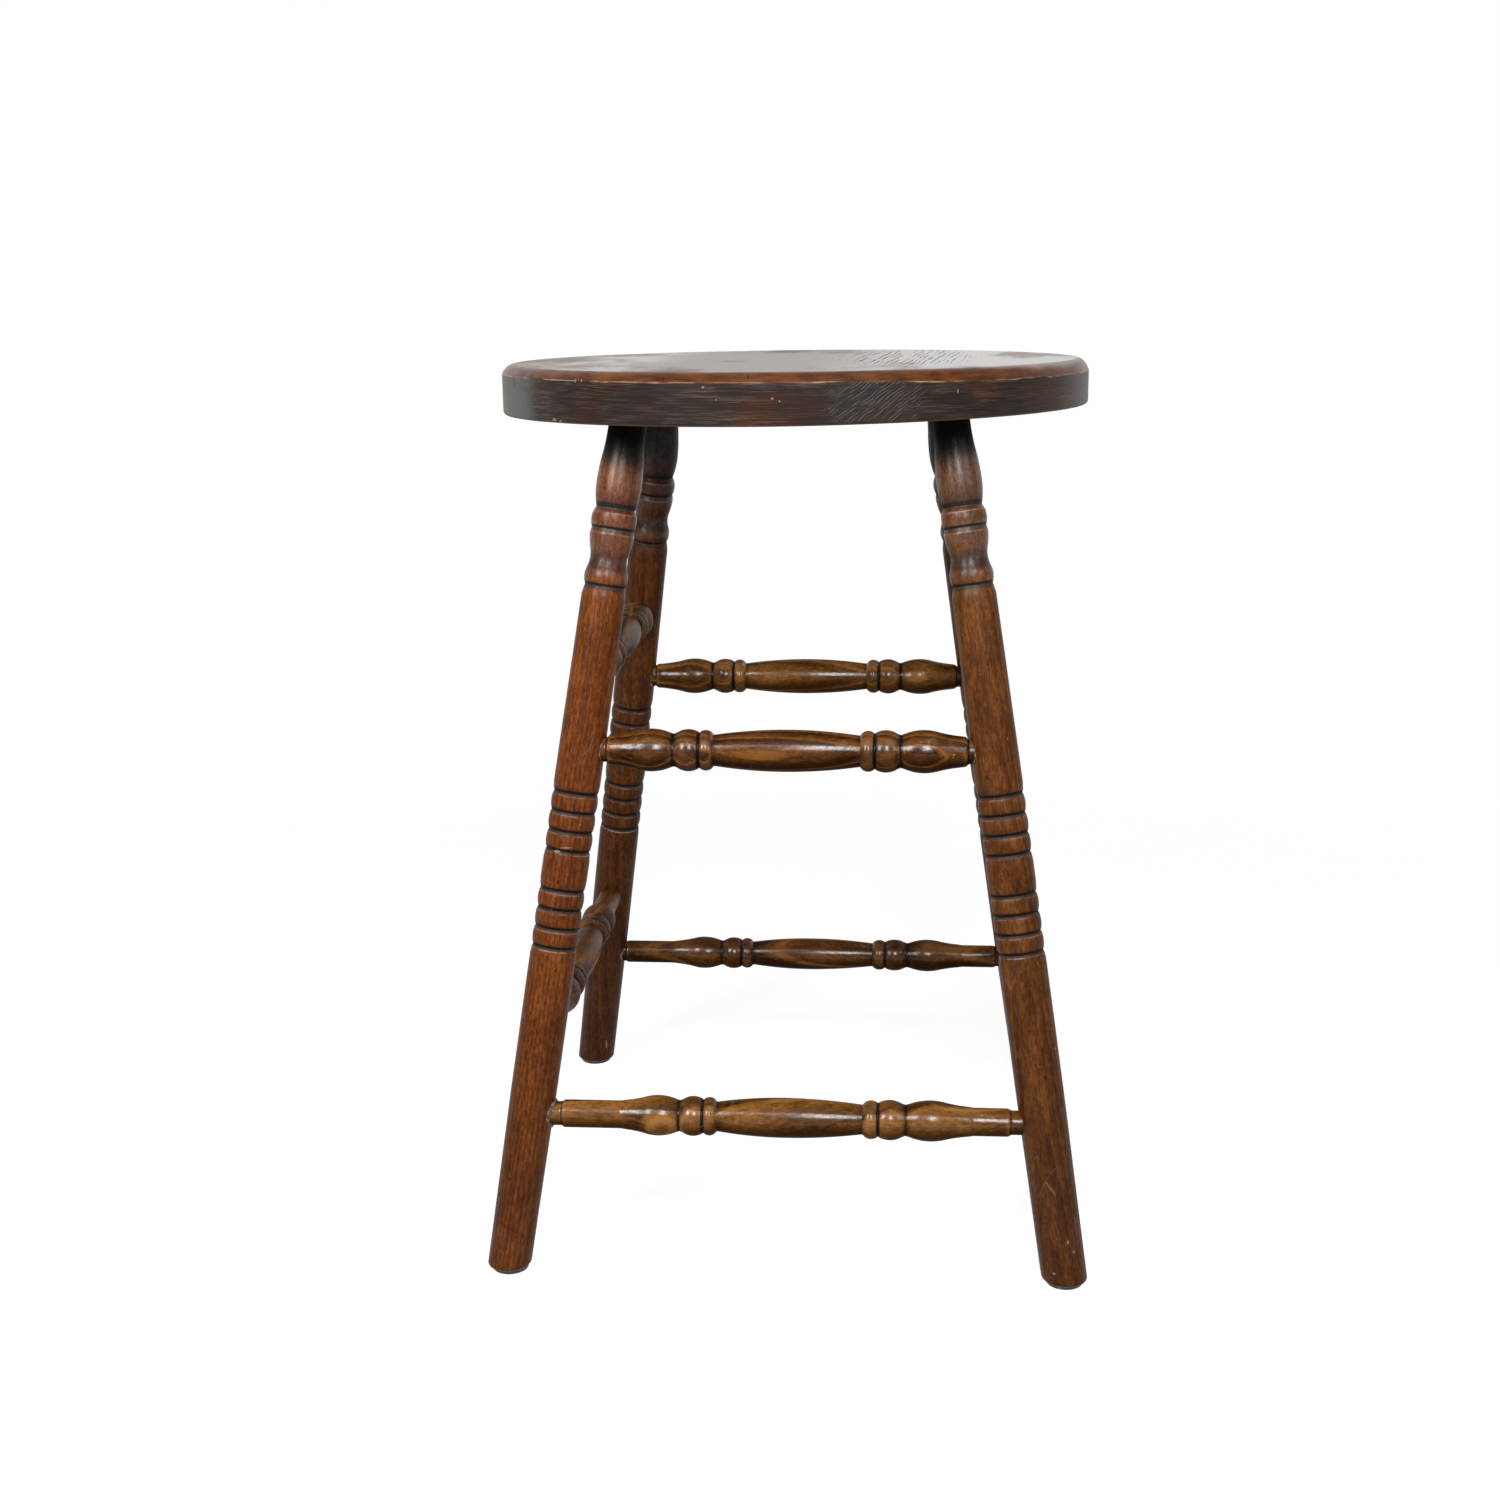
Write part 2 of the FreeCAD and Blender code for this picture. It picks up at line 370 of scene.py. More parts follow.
def wear_marks() -> bpy.types.NodeTree:
    """Small pale scuffs, dark flecks and thin scratches of long use."""
    bench, start = Bench.opened(SHADER_TREE, "wear marks", {"Place": ORIGIN, "Amount": 0.5})
    place = start["Place"]
    low = 0.80 - start["Amount"] * 0.14
    high = low + 0.03
    elsewhere = place.vector("ADD", (3.1, 1.7, 0.9))
    long = place.turned(0.5, "X").vector("MULTIPLY", (90.0, 90.0, 9.0))
    cells = {"Vector": long, "Scale": 1.0}
    lines = bench.out("ShaderNodeTexVoronoi", "Distance", cells, feature="DISTANCE_TO_EDGE")
    patch = place.speckle((30.0, 30.0, 24.0), 1.0).step(0.62, 0.72)
    patterns = {
        "Scuffs": place.speckle((230.0, 230.0, 150.0), 3.0, 0.6).step(low, high),
        "Flecks": elsewhere.speckle((290.0, 290.0, 170.0)).step(low, high),
        "Scratches": lines.step(0.004, 0.012, 1.0, 0.0) * patch,
    }
    return bench.closed(patterns)


def soft_spot() -> bpy.types.NodeTree:
    """A soft-edged spot round one place, such as a nick or a dark knot."""
    sizes = {"Place": ORIGIN, "Centre": ORIGIN, "Reach": (0.003, 0.003, 0.003)}
    bench, start = Bench.opened(SHADER_TREE, "soft spot", sizes)
    away = start["Place"].vector("SUBTRACT", start["Centre"]).vector("DIVIDE", start["Reach"])
    ragged = (start["Place"].speckle((700.0, 700.0, 700.0), 1.0) - 0.5) * 0.9
    return bench.closed({"Spot": (away.vector("LENGTH") + ragged).step(0.65, 1.0, 1.0, 0.0)})


@dataclass(frozen=True)
class Effects:
    """The node groups that the finishes share, each made once."""

    grain: bpy.types.NodeTree
    ripple: bpy.types.NodeTree
    wear: bpy.types.NodeTree
    spot: bpy.types.NodeTree

    @classmethod
    def make(cls) -> "Effects":
        """Makes every group."""
        return cls(timber_grain(), lacquer_ripple(), wear_marks(), soft_spot())


# Finishes


@dataclass(frozen=True)
class Nick:
    """A small mark of use.

    Attributes:
        centre: Where it is.
        reach: How far it goes each way.
        pale: Whether it shows pale wood, and not dark stain.
    """

    centre: Colour
    reach: Colour
    pale: bool = True


class Paint(Bench):
    """The bench of one material in the making.

    Attributes:
        effects: The node groups that it may use.
        material: The material.
        shader: Its Principled BSDF.
        output: Its output node.
        place: The place on the stool.
    """

    def __init__(self, name: str, effects: Effects) -> None:
        """Makes the material with its shader.

        Args:
            name: The material's name.
            effects: The node groups that it may use.
        """
        self.effects = effects
        self.material = bpy.data.materials.new(name)
        self.material.use_nodes = True
        self.material.node_tree.nodes.clear()
        super().__init__(self.material.node_tree)
        self.shader = self.add("ShaderNodeBsdfPrincipled")
        self.output = self.add("ShaderNodeOutputMaterial", {"Surface": self.shader})
        self.place = self.out("ShaderNodeTexCoord", "Object")

    def marks(self, place: Value, amount: float) -> dict[str, Value]:
        """Scuffs, flecks and scratches at a place, by name."""
        return self.group(self.effects.wear, {"Place": place, "Amount": amount})

    def spot(self, nick: Nick) -> Value:
        """How much of a nick shows at the place on the stool."""
        inputs = {"Place": self.place, "Centre": nick.centre, "Reach": nick.reach}
        return self.group(self.effects.spot, inputs)["Spot"]

    def finished(self, inputs: dict[str, Any], height: Value, distance: float) -> bpy.types.Material:
        """Sets the shader's inputs and gives the surface its relief.

        Args:
            inputs: Plain or worked-out values for the shader's inputs, by name.
            height: The pattern of the relief.
            distance: How high a height of 1 stands, in metres.

        Returns:
            The material.
        """
        relief = {"Height": height, "Distance": distance, "Strength": 1.0}
        normal = self.out("ShaderNodeBump", "Normal", relief)
        for name, value in {**inputs, "Normal": normal}.items():
            self.feed(self.shader, name, value)
        return self.material


@dataclass(frozen=True)
class TurnedTimber:
    """Stained beech under old lacquer, turned on a lathe.

    Attributes:
        name: The material's name.
        dark: The colour of the dark late wood.
        middle: The usual colour.
        light: The colour of the pale early wood.
        stain: The colour that gathers in grooves, also used for the painted shade that the stain mark
            carries.
        pith: Where the middle of the tree was, from the blank's own axis.
        ring_pitch: How far apart the growth rings are.
        ring_lines: How strongly the pale line of each ring shows.
        waviness: How far the rings wander.
        fibre: How strongly single fibres show.
        worn_and_lit_edge: The colour of edges that are rubbed pale; on the legs, where only edges that face
            up get it, it is also a painted highlight.
        edge_wear_and_light: How pale they are, from wear and, on the legs, painted highlight.
        ring_depth: How much each ring darkens towards its late wood.
        gloss: Roughness of the lacquer.
        wear: How much it is scuffed.
        reflection: How strongly the wood reflects when seen straight on.
        lacquer: How much of the lacquer is left where it is thickest.
        coat_ior: How strongly the lacquer bends light.
        dust_and_painted_light: The colour of the painted light, a grey-brown band, on the sides of grooves
            that face up.
        painted_foot_shade: How much painted shade darkens it towards the floor.
        foot_line: How pale the bare edge of the foot is.
        underside: How much painted shade darkens it where it faces down.
        gloss_range: How steeply it faces up where the lacquer starts to shine, and where it shines fully.
        under_gloss: How much of the shine is left underneath.
        top_gloss: How much of it is left on what faces straight up.
        crackle: How rough the crackle in the lacquer is.
        nicks: Its single marks.
    """

    name: str
    dark: Colour
    middle: Colour
    light: Colour
    stain: Colour = (0.006, 0.005, 0.005)
    pith: Colour = (0.045, 0.012, 0.0)
    ring_pitch: float = 0.0031
    ring_lines: float = 0.16
    waviness: float = 0.005
    fibre: float = 0.62
    worn_and_lit_edge: Colour = (0.62, 0.44, 0.36)
    edge_wear_and_light: float = 0.62
    ring_depth: float = 0.12
    gloss: float = 0.37
    wear: float = 0.5
    reflection: float = 0.05
    lacquer: float = 0.9
    coat_ior: float = 1.6
    dust_and_painted_light: Colour = (0.050, 0.041, 0.032)
    painted_foot_shade: float = 0.30
    foot_line: float = 0.0
    underside: float = 0.0
    gloss_range: Pair = (-0.45, 0.0)
    under_gloss: float = 0.08
    top_gloss: float = 1.0
    crackle: float = 0.6
    nicks: tuple[Nick, ...] = ()

    FRESH: ClassVar[Colour] = (0.34, 0.25, 0.17)
    SCUFFED: ClassVar[Colour] = (0.34, 0.24, 0.17)
    BARE: ClassVar[Colour] = (0.40, 0.33, 0.23)

    def material(self, effects: Effects) -> bpy.types.Material:
        """Builds the material.

        Args:
            effects: The shared node groups.

        Returns:
            The material.
        """
        paint = Paint(self.name, effects)
        blank = paint.attribute("blank", "Vector")
        sizes = {"Place": blank, "Pith": self.pith, "Ring Pitch": self.ring_pitch, "Waviness": self.waviness}
        grain = paint.group(effects.grain, sizes)
        marks = paint.marks(blank, self.wear)
        ragged = blank.speckle((75.0, 75.0, 60.0), 4.0, 0.62) - 0.5
        # The stain mark also carries painted shade: on the necks under the seat, at the vase's foot and on
        # groove sides that face down.
        stain = (paint.attribute("stain") + ragged * 0.7).step(0.10, 1.0) * 0.985
        scuffs = (marks["Scuffs"] * 0.6).most(marks["Scratches"] * 0.22)
        upward = paint.out("ShaderNodeNewGeometry", "Normal").axis("Z")
        # Painted shade: the colour goes towards the dark colour where the surface faces down.
        colour = upward.step(0.30, -0.70, 0.0, self.underside).mix(self.wood_colour(paint, grain), self.dark)
        colour = (grain["Lines"] * self.ring_lines).mix(colour, self.light)
        colour = (grain["Pores"] * 0.55).mix(colour, self.dark)
        colour = (marks["Flecks"] * 0.8).mix(colour, self.stain)
        colour = self.rubbed(paint, blank, stain.mix(colour, self.stain))
        for nick in self.nicks:
            colour = (paint.spot(nick) * 0.7).mix(colour, self.FRESH if nick.pale else self.stain)
        colour = scuffs.mix(colour, self.SCUFFED)
        edge = paint.place.axis("Z").step(3.5 * MM, 4.3 * MM, self.foot_line, 0.0)
        polish = blank.speckle((700.0, 700.0, 420.0), 3.0, 0.6).step(0.32, 0.62, 0.45, 1.0)
        polish = polish * paint.attribute("polish") * self.lacquer * (1.0 - stain * 0.60)
        polish = polish * upward.step(*self.gloss_range, self.under_gloss, 1.0)
        ripple = paint.group(effects.ripple, {"Place": blank, "Crackle": self.crackle})["Height"]
        relief = ripple * 0.55 + grain["Fibres"] * 0.06 - grain["Pores"] * 0.10 - scuffs * 0.25
        inputs = {
            "Base Color": edge.mix(colour, self.BARE),
            "Roughness": (grain["Blotches"] * 0.16 + 0.35 + stain * 0.22 + scuffs * 0.3).clamped(),
            "Coat Weight": polish * upward.step(0.62, 0.92, 1.0, self.top_gloss),
            "Coat Roughness": self.gloss,
            "Coat IOR": self.coat_ior,
            "Specular IOR Level": self.reflection,
        }
        return paint.finished(inputs, relief, 0.16 * MM)

    def wood_colour(self, paint: Paint, grain: dict[str, Value]) -> Value:
        """Colours the bare wood by its grain.

        Args:
            paint: The material in the making.
            grain: The patterns of the grain, by name.

        Returns:
            The colour.
        """
        tone = grain["Rings"] * -self.ring_depth
        shares = {"Fibres": self.fibre, "Mottle": 0.85, "Streaks": 0.25, "Blotches": 0.65}
        for name, share in shares.items():
            tone = tone + grain[name] * share
        ramp = paint.add("ShaderNodeValToRGB", {"Fac": (tone - (0.325 + 0.5 * self.fibre)).clamped()})
        stops = ramp.color_ramp.elements
        stops[0].position = 0.16
        stops[0].color = opaque(self.dark)
        stops[1].position = 0.84
        stops[1].color = opaque(self.light)
        stops.new(0.48).color = opaque(self.middle)
        # Painted shade: the colour darkens towards the floor.
        return paint.place.axis("Z").step(0.02, 0.34, self.painted_foot_shade, 0.0).mix(ramp, self.stain)

    def rubbed(self, paint: Paint, blank: Value, colour: Value) -> Value:
        """Adds painted light on the sides of hollows that face up, and pale edges, worn and painted highlight
        together.

        Args:
            paint: The material in the making.
            blank: The place in the sawn blank.
            colour: The colour so far.

        Returns:
            The colour.
        """
        # Painted light: a grey-brown band where a hollow's side faces up.
        dusty = blank.speckle((210.0, 210.0, 300.0)).step(0.30, 0.60, 0.35, 0.8)
        colour = (paint.attribute("flank") * dusty).mix(colour, self.dust_and_painted_light)
        # Pale worn edges; on the legs only edges that face up get them, so they are also a painted highlight.
        bare = blank.speckle((130.0, 130.0, 90.0)).step(0.38, 0.60, 0.15, 1.0)
        return (paint.attribute("crest") * bare * self.edge_wear_and_light).mix(colour, self.worn_and_lit_edge)


@dataclass(frozen=True)
class SeatTimber:
    """Dark stained seat boards, worn to orange wood on the bevel.

    Attributes:
        name: The material's name.
        top_level: Height of the seat's top.
        side_top: Height of the bevel's lower edge.
        underside: Height of the seat's underside.
        bevel_inner: Radius of the bevel's upper edge.
        joints: The places of the glued joints along X.
        nicks: Its single marks.
    """

    name: str
    top_level: float
    side_top: float
    underside: float
    bevel_inner: float
    joints: tuple[float, ...]
    nicks: tuple[Nick, ...] = (
        Nick((-0.0443, -0.2017, 0.6013), (0.0010, 0.002, 0.0007)),
        Nick((-0.0362, -0.2033, 0.5935), (0.0007, 0.002, 0.0006)),
        Nick((-0.0015, -0.2065, 0.5942), (0.0009, 0.002, 0.0006)),
        Nick((0.0030, -0.2065, 0.5925), (0.0008, 0.002, 0.0005)),
        Nick((0.1123, -0.1733, 0.5961), (0.0004, 0.002, 0.0017)),
        Nick((-0.1307, -0.1599, 0.6040), (0.0006, 0.002, 0.0014)),
        Nick((-0.1260, -0.1636, 0.6042), (0.0006, 0.002, 0.0012)),
        Nick((-0.1830, -0.0957, 0.6005), (0.0016, 0.002, 0.0034), False),
        Nick((-0.1485, -0.1330, 0.6085), (0.0020, 0.002, 0.0012), False),
        Nick((-0.0162, -0.2030, 0.6072), (0.0006, 0.003, 0.0024), False),
        Nick((-0.0700, -0.1940, 0.6060), (0.0005, 0.003, 0.0030), False),
        Nick((-0.1480, -0.1440, 0.5783), (0.0019, 0.003, 0.0011)),
        Nick((-0.1430, -0.1490, 0.5770), (0.0014, 0.003, 0.0016)),
    )

    def material(self, effects: Effects) -> bpy.types.Material:
        """Builds the material.

        Args:
            effects: The shared node groups.

        Returns:
            The material.
        """
        paint = Paint(self.name, effects)
        height = paint.attribute("profile_height")
        radial = paint.attribute("profile_radius")
        wander = paint.place.vector("MULTIPLY", (1.0, 1.0, 0.0)).speckle((38.0, 38.0, 1.0), 3.0) - 0.5
        edge, inner = self.side_top, self.bevel_inner
        side = (height + wander * (2.4 * MM)).step(edge - 0.35 * MM, edge + 0.35 * MM, 1.0, 0.0)
        top = (radial + wander * (2.0 * MM)).step(inner - 0.5 * MM, inner + 0.3 * MM, 1.0, 0.0)
        top = top * height.step(edge, edge + 2 * MM)
        under = height.step(self.underside + 0.2 * MM, self.underside + 1.5 * MM, 1.0, 0.0)
        along = self.board_place(paint)
        top_colour, top_rough, top_height = self.top(paint, along)
        side_colour, side_height = self.side(paint)
        colour = side.mix(self.bevel(paint, height, radial), side_colour)
        sizes = {"Place": along, "Pith": (0.12, 0.0, 0.09), "Ring Pitch": 0.006}
        bare = paint.group(effects.grain, sizes)["Fibres"].mix((0.055, 0.03, 0.018), (0.16, 0.095, 0.055))
        colour, pale = self.marked(paint, under.mix(top.mix(colour, top_colour), bare))
        rough = top.mix(0.30 + side * 0.14, top_rough)
        inputs = {
            "Base Color": (self.joint_lines(paint) * 0.4).mix(colour, (0.02, 0.012, 0.009)),
            "Roughness": (rough + under * 0.25).clamped(),
            "Specular IOR Level": 0.13,
        }
        return paint.finished(inputs, side_height * side + top_height * top - pale * 0.6, 0.14 * MM)

    def board_place(self, paint: Paint) -> Value:
        """The place with the grain along its Z, shifted from board to board."""
        shift = paint.attribute("board") * 0.37
        place = paint.place
        parts = {"X": place.axis("X") + shift, "Y": place.axis("Z"), "Z": place.axis("Y") + shift}
        return paint.out("ShaderNodeCombineXYZ", 0, parts)

    def top(self, paint: Paint, along: Value) -> tuple[Value, Value, Value]:
        """The worn, waxed top.

        Args:
            paint: The material in the making.
            along: The place with the grain along its Z.

        Returns:
            Its colour, roughness and relief.
        """
        place, across = paint.place, paint.place.axis("X")
        sizes = {"Place": along, "Pith": (0.03, 0.50, 0.0), "Ring Pitch": 0.0065, "Waviness": 0.012}
        grain = paint.group(paint.effects.grain, sizes)
        tone = (grain["Fibres"] * 0.55 + grain["Blotches"] * 0.55 - grain["Rings"] * 0.28).clamped()
        leftward = across.step(-0.17, 0.05, 1.0, 0.0)
        rubbed = (place.speckle((11.0, 5.0, 1.0), 4.0, 0.6) + leftward * 0.17).step(0.54, 0.76)
        hatch = self.hatch(paint)
        scratches = paint.marks(along, 0.6)["Scratches"] * 0.4
        colour = tone.mix((0.030, 0.016, 0.010), (0.185, 0.092, 0.044))
        colour = (rubbed * 0.55).mix(colour, (0.20, 0.115, 0.062))
        colour = (grain["Pores"] * 0.6).mix(colour, (0.018, 0.010, 0.007))
        colour = (hatch * 0.6).mix(colour, (0.014, 0.010, 0.009))
        colour = scratches.mix(colour, (0.30, 0.22, 0.16))
        dull = across.step(-0.14, -0.06, 0.13, 0.26) - across.step(0.0, 0.10, 0.0, 0.12)
        rough = (dull + rubbed * 0.24 + hatch * 0.34).clamped()
        swirls = place.turned(-0.5, "Z").speckle((70.0, 26.0, 1.0), 3.0, 0.6) * (2.0 + leftward * 3.6)
        return colour, rough, grain["Fibres"] * 0.14 - hatch * 0.05 - scratches * 0.4 + swirls

    def hatch(self, paint: Paint) -> Value:
        """A patch of slanting scratches across the right of the top."""
        place = paint.place
        turned = place.turned(0.07, "Z")
        count = turned.axis("X") * 230.0 + place.speckle((90.0, 5.0, 1.0)) * 2.2
        lines = abs(count.fract() - 0.5).step(0.06, 0.17, 1.0, 0.0)
        broken = turned.speckle((260.0, 14.0, 1.0), 1.0).step(0.40, 0.56)
        away = place.vector("SUBTRACT", (0.078, 0.03, self.top_level)).vector("DIVIDE", (0.055, 0.20, 1.0))
        ragged = place.speckle((45.0, 12.0, 1.0)) * 0.8
        return lines * broken * (away.vector("LENGTH") + ragged).step(0.9, 1.35, 1.0, 0.0)

    def side(self, paint: Paint) -> tuple[Value, Value]:
        """The dark side, dragged with fine level streaks, with a painted reflection near its left and right
        ends.

        Args:
            paint: The material in the making.

        Returns:
            Its colour and relief.
        """
        place = paint.place
        streaks = place.speckle((42.0, 42.0, 1350.0), 3.0, 0.66)
        broad = place.speckle((20.0, 20.0, 90.0), 3.0, 0.6)
        reddish = place.speckle((22.0, 22.0, 40.0)).step(0.42, 0.64)
        dark = reddish.mix((0.018, 0.012, 0.010), (0.034, 0.0125, 0.0065))
        light = reddish.mix((0.078, 0.056, 0.045), (0.090, 0.042, 0.025))
        colour = (streaks.step(0.46, 0.62) * broad.step(0.30, 0.70, 0.5, 1.0)).mix(dark, light)
        colour = (broad.step(0.62, 0.40) * 0.45).mix(colour, (0.012, 0.008, 0.007))
        # Painted reflection: a grey sheen near the left and right ends of the side.
        painted_reflection = (place.axis("X") + (broad - 0.5) * 0.030).step(-0.158, -0.176, 0.0, 0.85)
        painted_reflection = painted_reflection.most(place.axis("X").step(0.176, 0.205, 0.0, 0.55))
        colour = painted_reflection.mix(colour, (0.098, 0.097, 0.086))
        turned = place.turned(-0.95, "Y")
        count = turned.axis("X") * 560.0 + place.speckle((70.0, 70.0, 70.0)) * 2.6
        crossed = abs(count.fract() - 0.5).step(0.08, 0.24, 1.0, 0.0)
        broken = turned.speckle((650.0, 90.0, 75.0)).step(0.42, 0.60)
        away = place.vector("SUBTRACT", (0.062, -0.196, 0.592)).vector("DIVIDE", (0.034, 0.05, 0.020))
        ragged = place.speckle((120.0, 120.0, 160.0)) * 0.6
        patch = (away.vector("LENGTH") + ragged).step(0.95, 1.35, 1.0, 0.0)
        crossed = crossed * broken * patch
        colour = (patch * 0.6).mix(colour, (0.026, 0.023, 0.022))
        colour = (crossed * 0.5).mix(colour, (0.140, 0.122, 0.110))
        return colour, streaks * 0.55 + crossed * 0.4

    def bevel(self, paint: Paint, height: Value, radial: Value) -> Value:
        """The bevel, rubbed to orange wood, with pale worn edges.

        Args:
            paint: The material in the making.
            height: The height above the floor.
            radial: The distance from the seat's centre line.

        Returns:
            Its colour.
        """
        tone = paint.place.speckle((60.0, 60.0, 330.0), 3.0, 0.55).step(0.28, 0.72)
        colour = tone.mix((0.050, 0.015, 0.005), (0.140, 0.045, 0.012))
        colour = (paint.marks(paint.place, 0.45)["Flecks"] * 0.8).mix(colour, (0.02, 0.012, 0.01))
        broken = paint.place.speckle((75.0, 75.0, 75.0)).step(0.36, 0.6)
        lower = height.step(self.side_top + 0.1 * MM, self.side_top + 1.0 * MM, 1.0, 0.0)
        upper = radial.step(self.bevel_inner - 0.2 * MM, self.bevel_inner + 1.0 * MM, 1.0, 0.0)
        return (lower.most(upper) * broken * 0.7).mix(colour, (0.42, 0.27, 0.19))

    def marked(self, paint: Paint, colour: Value) -> tuple[Value, Value]:
        """Adds the single nicks.

        Args:
            paint: The material in the making.
            colour: The colour so far.

        Returns:
            The marked colour, and the pale nicks' mask.
        """
        pale: Any = 0.0
        for nick in self.nicks:
            mask = paint.spot(nick) * (0.6 if nick.pale else 0.85)
            colour = mask.mix(colour, (0.36, 0.28, 0.22) if nick.pale else (0.012, 0.009, 0.008))
            if nick.pale:
                pale = mask.most(pale)
        return colour, pale

    def joint_lines(self, paint: Paint) -> Value:
        """The thin dark lines where the boards meet."""
        mask: Any = 0.0
        for joint in self.joints:
            mask = abs(paint.place.axis("X") - joint).step(0.15 * MM, 0.5 * MM, 1.0, 0.0).most(mask)
        return mask * paint.place.speckle((60.0, 60.0, 60.0)).step(0.35, 0.6)


@dataclass(frozen=True)
class ScuffedPlastic:
    """Black moulded plastic, dusty and scuffed."""

    name: str
    colour: Colour = (0.018, 0.018, 0.019)
    dust_and_painted_light: Colour = (0.14, 0.12, 0.10)
    scuffed: Colour = (0.30, 0.27, 0.24)

    def material(self, effects: Effects) -> bpy.types.Material:
        """Builds the material.

        Args:
            effects: The shared node groups.

        Returns:
            The material.
        """
        paint = Paint(self.name, effects)
        dusty = paint.place.speckle((210.0, 210.0, 500.0), 3.0, 0.6).step(0.48, 0.7)
        colour = (dusty * 0.4).mix(self.colour, self.dust_and_painted_light)
        colour = (paint.marks(paint.place, 1.0)["Scuffs"] * 0.7).mix(colour, self.scuffed)
        inputs = {"Base Color": colour, "Roughness": 0.42 + dusty * 0.3}
        return paint.finished(inputs, paint.place.speckle((1500.0, 1500.0, 1500.0)), 0.03 * MM)


@dataclass(frozen=True)
class BrightSteel:
    """Drawn steel wire, a little dulled."""

    name: str
    colour: Colour = (0.55, 0.55, 0.56)
    dulled: Colour = (0.28, 0.25, 0.22)
    shaded: Colour = (0.42, 0.42, 0.43)

    def material(self, effects: Effects) -> bpy.types.Material:
        """Builds the material.

        Args:
            effects: The shared node groups.

        Returns:
            The material.
        """
        paint = Paint(self.name, effects)
        drawn = paint.place.speckle((2400.0, 2400.0, 120.0))
        dull = (paint.marks(paint.place, 0.4)["Flecks"] * 0.6).mix(self.colour, self.dulled)
        colour = (drawn * 0.3).mix(dull, self.shaded)
        inputs = {"Base Color": colour, "Metallic": 1.0, "Roughness": 0.26 + drawn * 0.2}
        return paint.finished(inputs, drawn, 0.01 * MM)


@dataclass(frozen=True)
class DriedGlue:
    """Old glue squeezed out of a joint, with dust stuck in it."""

    name: str
    colour: Colour = (0.19, 0.135, 0.085)
    dirt: Colour = (0.05, 0.035, 0.025)
    scuffed: Colour = (0.30, 0.22, 0.14)

    def material(self, effects: Effects) -> bpy.types.Material:
        """Builds the material.

        Args:
            effects: The shared node groups.

        Returns:
            The material.
        """
        paint = Paint(self.name, effects)
        dirty = paint.place.speckle((420.0, 420.0, 420.0), 3.0, 0.6).step(0.4, 0.66)
        colour = paint.marks(paint.place, 0.9)["Scuffs"].mix(dirty.mix(self.colour, self.dirt), self.scuffed)
        inputs = {"Base Color": colour, "Roughness": 0.45 + dirty * 0.3}
        return paint.finished(inputs, paint.place.speckle((1300.0, 1300.0, 1300.0), 3.0), 0.2 * MM)


@dataclass(frozen=True)
class PaleFloor:
    """A plain pale floor that fades to white away from the stool and keeps its shadow.

    Attributes:
        name: The material's name.
        colour: Its colour.
        blotch: The colour of its faint blotches.
        near: How far from the stool it starts to fade.
        far: How far away it is white.
        lift: How much it is brightened for the eye alone.
    """

    name: str
    colour: Colour = (0.32, 0.32, 0.315)
    blotch: Colour = (0.28, 0.28, 0.275)
    near: float = 0.45
    far: float = 1.3
    lift: float = 0.86

    def material(self, effects: Effects) -> bpy.types.Material:
        """Builds the material.

        Args:
            effects: The shared node groups.

        Returns:
            The material.
        """
        paint = Paint(self.name, effects)
        soft = paint.place.speckle((3.0, 3.0, 3.0), 3.0)
        paint.feed(paint.shader, "Base Color", (soft * 0.04).mix(self.colour, self.blotch))
        paint.feed(paint.shader, "Roughness", 0.85 + soft * 0.1)
        paint.feed(paint.shader, "Specular IOR Level", 0.0)
        seen = seen_directly(paint)
        glow = paint.add("ShaderNodeEmission", {"Color": WHITE, "Strength": seen * self.lift})
        lit = paint.add("ShaderNodeAddShader", {0: paint.shader, 1: glow})
        white = paint.add("ShaderNodeEmission", {"Color": WHITE, "Strength": 1.0})
        share = paint.place.vector("LENGTH").step(self.near, self.far) * seen
        both = paint.add("ShaderNodeMixShader", {0: share, 1: lit, 2: white})
        paint.feed(paint.output, "Surface", both)
        return paint.material


def seen_directly(bench: Bench) -> Value:
    """Whether a ray comes from the camera, a gloss or a clear piece, as 1 or 0."""
    path = bench.given(bench.add("ShaderNodeLightPath"))
    return path["Is Camera Ray"].most(path["Is Glossy Ray"].most(path["Is Transmission Ray"]))


# Turned pieces


